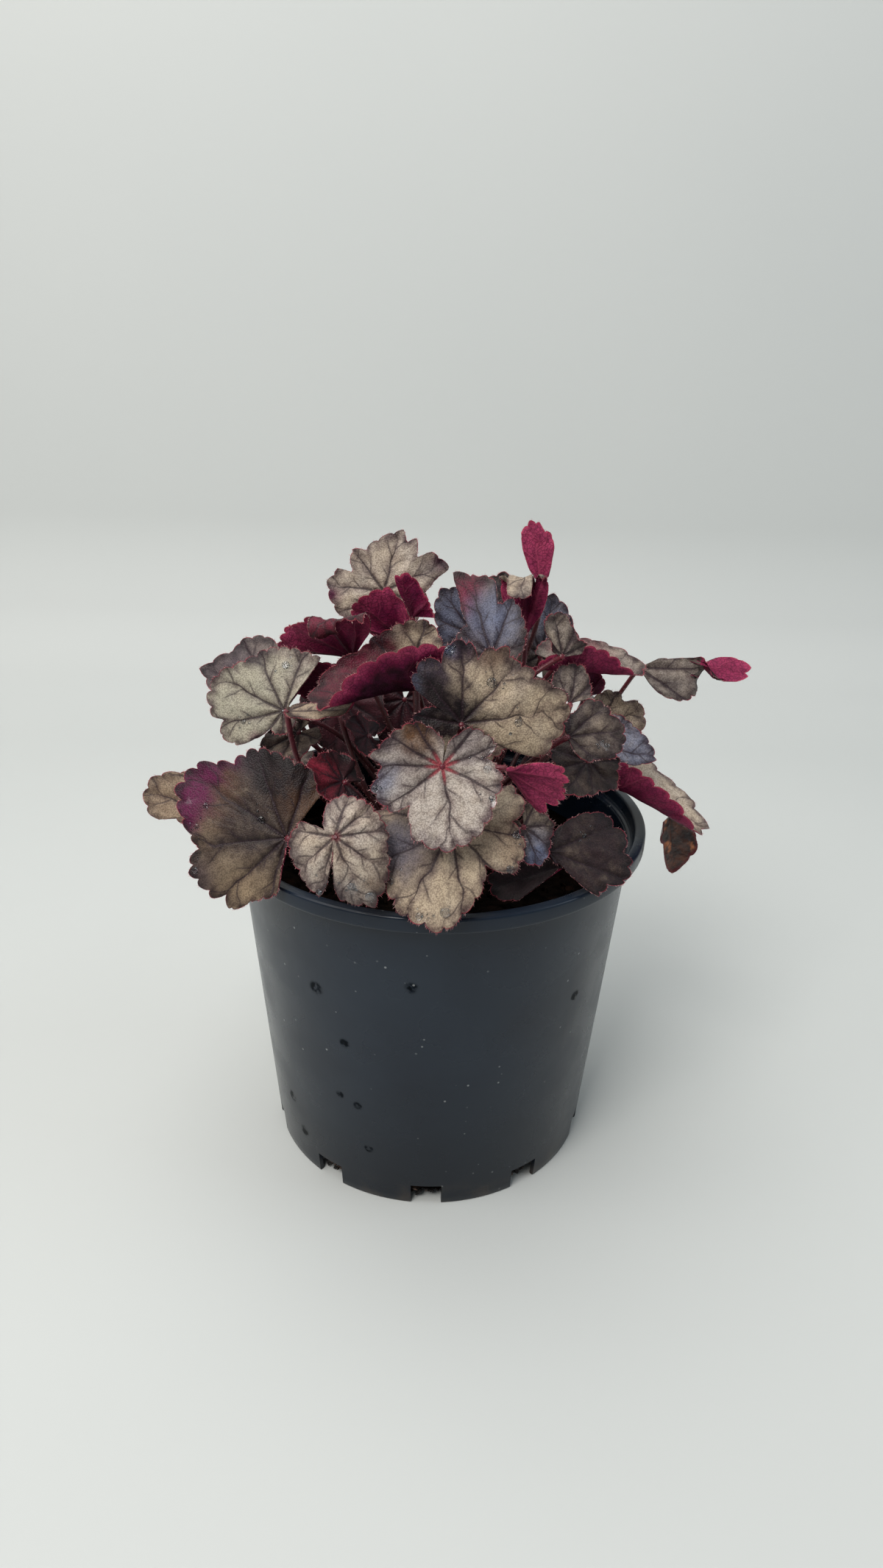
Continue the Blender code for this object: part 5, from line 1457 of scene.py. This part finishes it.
foot_heights = np.array((0.0, 0.18, 0.6, *FLOOR_LEVELS[:1], NOTCH_HEIGHT))
foot_outer = wall_radius(foot_heights) - (0.55, 0.15, 0, 0, 0)
foot_inner = wall_radius(foot_heights) - WALL - (-0.2, 0.1, 0.2, 0.1, 0)
shoulder = float(wall_radius(LEDGE)) - WALL + 2.3
upper_line = softened((
    (wall_radius(NOTCH_HEIGHT), NOTCH_HEIGHT), (BODY_TOP_RADIUS, SKIRT - 0.6),
    (shoulder + WALL - 0.2, LEDGE - 0.6), (shoulder + WALL, POT_HEIGHT - 1.3),
    (RIM_RADIUS - 1.1, POT_HEIGHT - 1.3), (RIM_RADIUS - 1.1, SKIRT), (RIM_RADIUS, SKIRT),
    (RIM_RADIUS, POT_HEIGHT), (shoulder + 0.2, POT_HEIGHT), (shoulder, LEDGE),
    (wall_radius(LEDGE) - WALL, LEDGE - 0.6), (wall_radius(NOTCH_HEIGHT) - WALL, NOTCH_HEIGHT),
), 0.9)
outer_foot = np.stack((foot_outer[:-1], foot_heights[:-1]), -1)
inner_foot = np.stack((foot_inner[:-1], foot_heights[:-1]), -1)[::-1]
outline = np.concatenate((outer_foot, upper_line, inner_foot))
columns = NOTCHES * COLUMNS_PER_NOTCH
turn = math.radians(-90) + (np.arange(columns) - NOTCH_COLUMNS / 2) * 2 * math.pi / columns
turned = np.stack((
    outline[:, :1] * np.cos(turn), outline[:, :1] * np.sin(turn),
    np.repeat(outline[:, 1:], columns, axis=1),
), axis=-1) + CENTRE

number = np.arange(turned.shape[0] * columns).reshape(-1, columns)
ahead_row = np.concatenate((number[1:], number[:1]))
quads = np.stack(
    (number, np.roll(number, -1, 1), np.roll(ahead_row, -1, 1), ahead_row), axis=-1
)
in_notch = np.arange(columns) % COLUMNS_PER_NOTCH < NOTCH_COLUMNS
foot = np.ones(len(outline), bool)
foot[FOOT_ROWS - 1:-FOOT_ROWS] = False
kept = quads[~(foot[:, None] & in_notch[None])]
outer_side, inner_side = number[:FOOT_ROWS], number[::-1][:FOOT_ROWS]
starts = np.flatnonzero(in_notch & ~np.roll(in_notch, 1))
ends = starts + NOTCH_COLUMNS
cheeks = [
    np.stack((
        outer_side[:-1, at], outer_side[1:, at], inner_side[1:, at], inner_side[:-1, at],
    ), axis=-1)
    for at in (starts, ends)
]
lintel = np.stack((
    outer_side[-1], inner_side[-1], np.roll(inner_side[-1], -1), np.roll(outer_side[-1], -1)
), axis=-1)[in_notch]
pot_faces = (kept, cheeks[0].reshape(-1, 4)[:, ::-1], cheeks[1].reshape(-1, 4), lintel)

disc_radius = float(wall_radius(FLOOR_LEVELS[0])) - WALL + 0.05
recess = np.where(in_notch | np.roll(in_notch, 1), NOTCH_RECESS, 0.0)
disc_line = np.array((
    (0.6, FLOOR_LEVELS[0]), (20, FLOOR_LEVELS[0]), (disc_radius - 0.4, FLOOR_LEVELS[0]),
    (disc_radius, FLOOR_LEVELS[0] + 0.4), (disc_radius, FLOOR_LEVELS[1] - 0.4),
    (disc_radius - 0.4, FLOOR_LEVELS[1]), (20, FLOOR_LEVELS[1]), (0.6, FLOOR_LEVELS[1]),
))
disc_reach = disc_line[:, :1] - recess * (disc_line[:, :1] > 50)
disc = np.stack((
    disc_reach * np.cos(turn), disc_reach * np.sin(turn),
    np.repeat(disc_line[:, 1:], columns, axis=1),
), axis=-1) + CENTRE
at = np.arange(disc.shape[0] * disc.shape[1]).reshape(disc.shape[:2])
next_to = np.roll(at, -1, 1)
disc_walls = np.stack((at[:-1], next_to[:-1], next_to[1:], at[1:]), -1).reshape(-1, 4)
disc_lids = [at[0, ::-1].tolist(), at[-1].tolist()]
print("pot wall:", len(kept), "faces, outline of", len(outline), "points")

# %% [markdown]
# The plastic is dyed through and has a soft satin gloss: nearly black face on, pale where it
# turns away towards its bright surroundings. Handling and watering have left dull smudges,
# white specks of lime and a brownish bloom round the notches. Towards the foot the colour is
# darkened with painted shade.

# %% Satin plastic
SMUDGES = (
    (-124, 82.7, 3.4), (-95, 91.3, 2.8), (-115.5, 64.6, 2.4), (-118.6, 41.9, 2.0),
    (-112.4, 39.6, 2.2), (-143.5, 25.9, 3.0), (-138, 13.9, 3.2), (-109.4, 21.7, 2.2),
    (-42.3, 75.0, 2.8), (-18, 68.6, 2.4), (35, 60.0, 3.0), (95, 40.0, 3.2), (160, 78.0, 2.8),
)
SLATE = (0.0050, 0.0100, 0.0200), (0.0100, 0.0180, 0.0310)
SMUDGE_BLACK = (0.0012, 0.0014, 0.0018)
LIME_SPECK = (0.42, 0.44, 0.44)
LOW_PAINTED_SHADE = (0.0020, 0.0026, 0.0034)
BROWN_BLOOM = (0.10, 0.070, 0.045)


def marks(recipe, place, spots):
    """One where a spot's middle is, falling to nought at its size."""
    total = None
    for degrees, height, size in spots:
        turn = math.radians(degrees)
        radius = float(wall_radius(height))
        middle = CENTRE + (radius * math.cos(turn), radius * math.sin(turn), height)
        inputs = {0: place, 1: tuple(float(v) * MM for v in middle)}
        far = recipe.node("VectorMath", inputs, operation="DISTANCE").outputs["Value"]
        near = recipe.step(far, size * 0.35 * MM, size * MM, 1.0, 0.0)
        total = near if total is None else recipe.maths("MAXIMUM", total, near)
    return total


plastic, cook, shader = new_material("satin_black_plastic", IOR=1.42)
place = cook.object_place()
haze = cook.step(cook.noise(place, 22.0, 4.0), 0.3, 0.7)
colour = cook.mix(haze, *SLATE)
ragged = cook.step(cook.noise(place, 480.0, 3.0), 0.35, 0.6, 0.25, 1.0)
smudge = cook.maths("MULTIPLY", marks(cook, place, SMUDGES), ragged)
colour = cook.mix(cook.maths("MULTIPLY", smudge, 0.9), colour, SMUDGE_BLACK)
give(cook, shader["Specular IOR Level"], cook.step(smudge, 0.0, 0.8, 0.44, 0.04))
speck = cook.step(cook.cells(place, 230.0), 0.06, 0.11, 1.0, 0.0)
speck = cook.maths("MULTIPLY", speck, cook.step(cook.noise(place, 55.0, 2.0), 0.52, 0.60))
colour = cook.mix(cook.maths("MULTIPLY", speck, 0.5), colour, LIME_SPECK)
height = cook.node("SeparateXYZ", {0: place}).outputs[2]
# Painted shade: darker towards the foot, near the floor.
colour = cook.mix(cook.step(height, 0.0, 0.07, 0.5, 0.0), colour, LOW_PAINTED_SHADE)
bloom = cook.step(cook.noise(place, 90.0), 0.4, 0.7)
bloom = cook.maths("MULTIPLY", cook.step(height, 0.0, 0.012, 0.35, 0.0), bloom)
colour = cook.mix(bloom, colour, BROWN_BLOOM)
give(cook, shader["Base Color"], colour)
dull = cook.step(cook.noise(place, 60.0), 0.3, 0.7, 0.24, 0.34)
give(cook, shader["Roughness"], cook.maths("MULTIPLY_ADD", speck, 0.3, dull))
ripple = cook.noise(place, 130.0)
bump = cook.node("Bump", {"Strength": 0.12, "Distance": 0.0004, "Height": ripple})
give(cook, shader["Normal"], bump.outputs[0])

gathered = Gathered()
gathered.add(turned.reshape(-1, 3), pot_faces, 0)
gathered.add(disc.reshape(-1, 3), (disc_walls, disc_lids), 0)
fine_pot = gathered.object("fine_pot", (plastic,), sharp=40)
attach(fine_pot, "root")
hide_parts("pot")
print("fine_pot:", len(gathered.faces), "faces")

# %% [markdown]
# Potting mix is peat with bark, and loose bits of it lie on top and show in the notches. Each
# bit is an uneven twenty-sided grain, stretched and turned at random; a few dozen faces are
# enough for something this small.

# %% Loose grains
GRAINS_ON_TOP = 420
GRAINS_PER_NOTCH = 40
TOP_REACH = (16, 61)
TOP_HEIGHT = 99.7
NOTCH_REACH = (50.4, 53.2)
NOTCH_HEIGHTS = (1.7, 6.9)
NOTCH_HALF_ANGLE = 0.085
GRAIN_SIZES = (0.5, 1.5)
GRAIN_SHAPE = (1.2, 1.0, 0.6)
NOTCH_GRAIN_SCALE = 0.95
LUMPINESS = (0.7, 1.15)
golden = (1 + 5**0.5) / 2
ICOSAHEDRON = unit(np.array((
    (-1, golden, 0), (1, golden, 0), (-1, -golden, 0), (1, -golden, 0),
    (0, -1, golden), (0, 1, golden), (0, -1, -golden), (0, 1, -golden),
    (golden, 0, -1), (golden, 0, 1), (-golden, 0, -1), (-golden, 0, 1),
)))
ICOSAHEDRON_FACES = np.array((
    (0, 11, 5), (0, 5, 1), (0, 1, 7), (0, 7, 10), (0, 10, 11), (1, 5, 9), (5, 11, 4), (11, 10, 2),
    (10, 7, 6), (7, 1, 8), (3, 9, 4), (3, 4, 2), (3, 2, 6), (3, 6, 8), (3, 8, 9), (4, 9, 5),
    (2, 4, 11), (6, 2, 10), (8, 6, 7), (9, 8, 1),
))


def round_the_pot(far, turn, height):
    """Places from a distance, a turn and a height about the pot's middle."""
    return np.stack((far * np.cos(turn), far * np.sin(turn), height), axis=-1) + CENTRE


draw = np.random.default_rng(17)
far = np.sqrt(draw.uniform(TOP_REACH[0] ** 2, TOP_REACH[1] ** 2, GRAINS_ON_TOP))
turn = draw.uniform(0, 2 * math.pi, GRAINS_ON_TOP)
on_top = round_the_pot(far, turn, np.full(GRAINS_ON_TOP, TOP_HEIGHT))
turn = np.repeat(np.radians(-90 + 360 / NOTCHES * np.arange(NOTCHES)), GRAINS_PER_NOTCH)
turn = turn + draw.uniform(-NOTCH_HALF_ANGLE, NOTCH_HALF_ANGLE, len(turn))
far = draw.uniform(*NOTCH_REACH, len(turn))
in_notches = round_the_pot(far, turn, draw.uniform(*NOTCH_HEIGHTS, len(turn)))
middle = np.concatenate((on_top, in_notches))
size = draw.uniform(*GRAIN_SIZES, (len(middle), 3)) * GRAIN_SHAPE
size[len(on_top):] *= NOTCH_GRAIN_SCALE
axis = unit(draw.normal(size=(len(middle), 3)))
other = unit(np.cross(axis, unit(draw.normal(size=axis.shape))))
grain_axes = np.stack((axis, other, np.cross(axis, other)), axis=1)
lumpy = ICOSAHEDRON * draw.uniform(*LUMPINESS, (len(middle), len(ICOSAHEDRON), 1))
grains = middle[:, None] + (lumpy * size[:, None]) @ grain_axes
grain_faces = ICOSAHEDRON_FACES + len(ICOSAHEDRON) * np.arange(len(middle))[:, None, None]
grain_faces = grain_faces.reshape(-1, 3)
print(len(middle), "grains of bark and peat")

# %% [markdown]
# The mix is nearly black with a few warmer crumbs, and its roughness is in the bump alone, since
# little of it is seen. The crown is scaly brown bark. Both keep their CAD solids, which need no
# finer form, and only the material on them changes.

# %% Peat, bark and splinters
PEAT = (0.0015, 0.001, 0.0008), (0.007, 0.0042, 0.003)
WARM_CRUMB = (0.014, 0.007, 0.0045)
BARK_SCALE = (0.075, 0.030, 0.020)
BARK_CRACK = (0.014, 0.006, 0.005)
SPLINTERS = (0.004, 0.0025, 0.002), (0.15, 0.085, 0.060)

soil, cook, shader = new_material("peat_and_bark", Roughness=0.95, Specular_IOR_Level=0.03)
place = cook.object_place()
crumb = cook.step(cook.noise(place, 260.0, 5.0), 0.35, 0.65)
colour = cook.mix(crumb, *PEAT)
colour = cook.mix(cook.step(cook.noise(place, 150.0, 1.0), 0.60, 0.72), colour, WARM_CRUMB)
give(cook, shader["Base Color"], colour)
lumps = cook.noise(place, 320.0, 6.0)
bump = cook.node("Bump", {"Strength": 1.0, "Distance": 0.002, "Height": lumps})
give(cook, shader["Normal"], bump.outputs[0])

bark, cook, shader = new_material("crown_skin", Roughness=0.85)
place = cook.object_place()
scaly = cook.cells(place, 420.0)
colour = cook.mix(cook.step(scaly, 0.1, 0.6), BARK_SCALE, BARK_CRACK)
give(cook, shader["Base Color"], colour)
cracks = cook.maths("MULTIPLY", scaly, -1.0)
bump = cook.node("Bump", {"Strength": 1.0, "Distance": 0.001, "Height": cracks})
give(cook, shader["Normal"], bump.outputs[0])

for name, finish in (("potting_mix", soil), ("crown", bark)):
    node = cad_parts[name]
    node.data.materials.clear()
    node.data.materials.append(finish)

splinter, cook, shader = new_material("brown_splinters", Roughness=0.85)
fresh = cook.step(cook.noise(cook.object_place(), 420.0, 3.0), 0.52, 0.68)
give(cook, shader["Base Color"], cook.mix(fresh, *SPLINTERS))

for name, part, skin in (
    ("bark_bits", grains[:GRAINS_ON_TOP], soil), ("notch_bits", grains[GRAINS_ON_TOP:], splinter),
):
    gathered = Gathered()
    gathered.add(part.reshape(-1, 3), (grain_faces[:len(ICOSAHEDRON_FACES) * len(part)],), 0)
    bits = gathered.object(name, (skin,), sharp=25)
    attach(bits, "root")
    print(name + ":", len(part), "grains")

# %% [markdown]
# A plain pale floor sweeps up into a backdrop, and large soft lights stand round it. The
# photograph was taken in open shade: light comes from everywhere, a little more from above.

# %% Floor and light
FLOOR_TONES = (0.56, 0.575, 0.56), (0.52, 0.54, 0.53)
FLOOR_HALF_WIDTH = 1.6
floor_profile = (
    (-1.6, 0.0), (0.35, 0.0), (0.44, 0.012), (0.50, 0.05), (0.52, 0.12), (0.52, 1.6),
)
stage_points = [(x, y, z) for x in (-FLOOR_HALF_WIDTH, FLOOR_HALF_WIDTH) for y, z in floor_profile]
last = len(floor_profile)
stage_faces = [(k, k + last, k + last + 1, k + 1) for k in range(last - 1)]
stage_mesh = bpy.data.meshes.new("floor")
stage_mesh.from_pydata(stage_points, [], stage_faces)
stage_mesh.shade_smooth()
floor = bpy.data.objects.new("floor", stage_mesh)
bpy.context.scene.collection.objects.link(floor)
pale, cook, shader = new_material("pale_floor", Roughness=0.7)
clouds = cook.noise(cook.object_place(), 3.0, 2.0)
give(cook, shader["Base Color"], cook.mix(clouds, *FLOOR_TONES))
stage_mesh.materials.append(pale)


def soft_light(name, place, aim, size, power, colour):
    """A square lamp that looks from its place at a point, both in metres."""
    lamp = bpy.data.lights.new(name, "AREA")
    lamp.size = size
    lamp.energy = power
    lamp.color = colour
    made = bpy.data.objects.new(name, lamp)
    bpy.context.scene.collection.objects.link(made)
    made.location = place
    made.rotation_euler = (Vector(aim) - Vector(place)).to_track_quat("-Z", "Y").to_euler()


soft_light("sky_above", (-0.20, 0.05, 1.1), (0, 0, 0.1), 0.9, 6.0, (1.0, 0.99, 0.97))
soft_light("sky_front", (-0.45, -0.80, 1.15), (0, 0, 0.15), 0.6, 13.0, (1.0, 0.97, 0.93))
soft_light("sky_left", (-1.0, -0.35, 0.9), (0, 0, 0.12), 0.7, 3.0, (1.0, 0.985, 0.96))
soft_light("sky_right", (1.0, -0.05, 0.8), (0, 0, 0.1), 0.7, 3.0, (0.84, 0.93, 1.0))
world = bpy.data.worlds.new("overcast")
world.use_nodes = True
sky = world.node_tree.nodes["Background"].inputs
sky["Color"].default_value = (0.90, 0.95, 1.0, 1.0)
sky["Strength"].default_value = 0.20
bpy.context.scene.world = world
bpy.context.scene.view_settings.view_transform = "Standard"
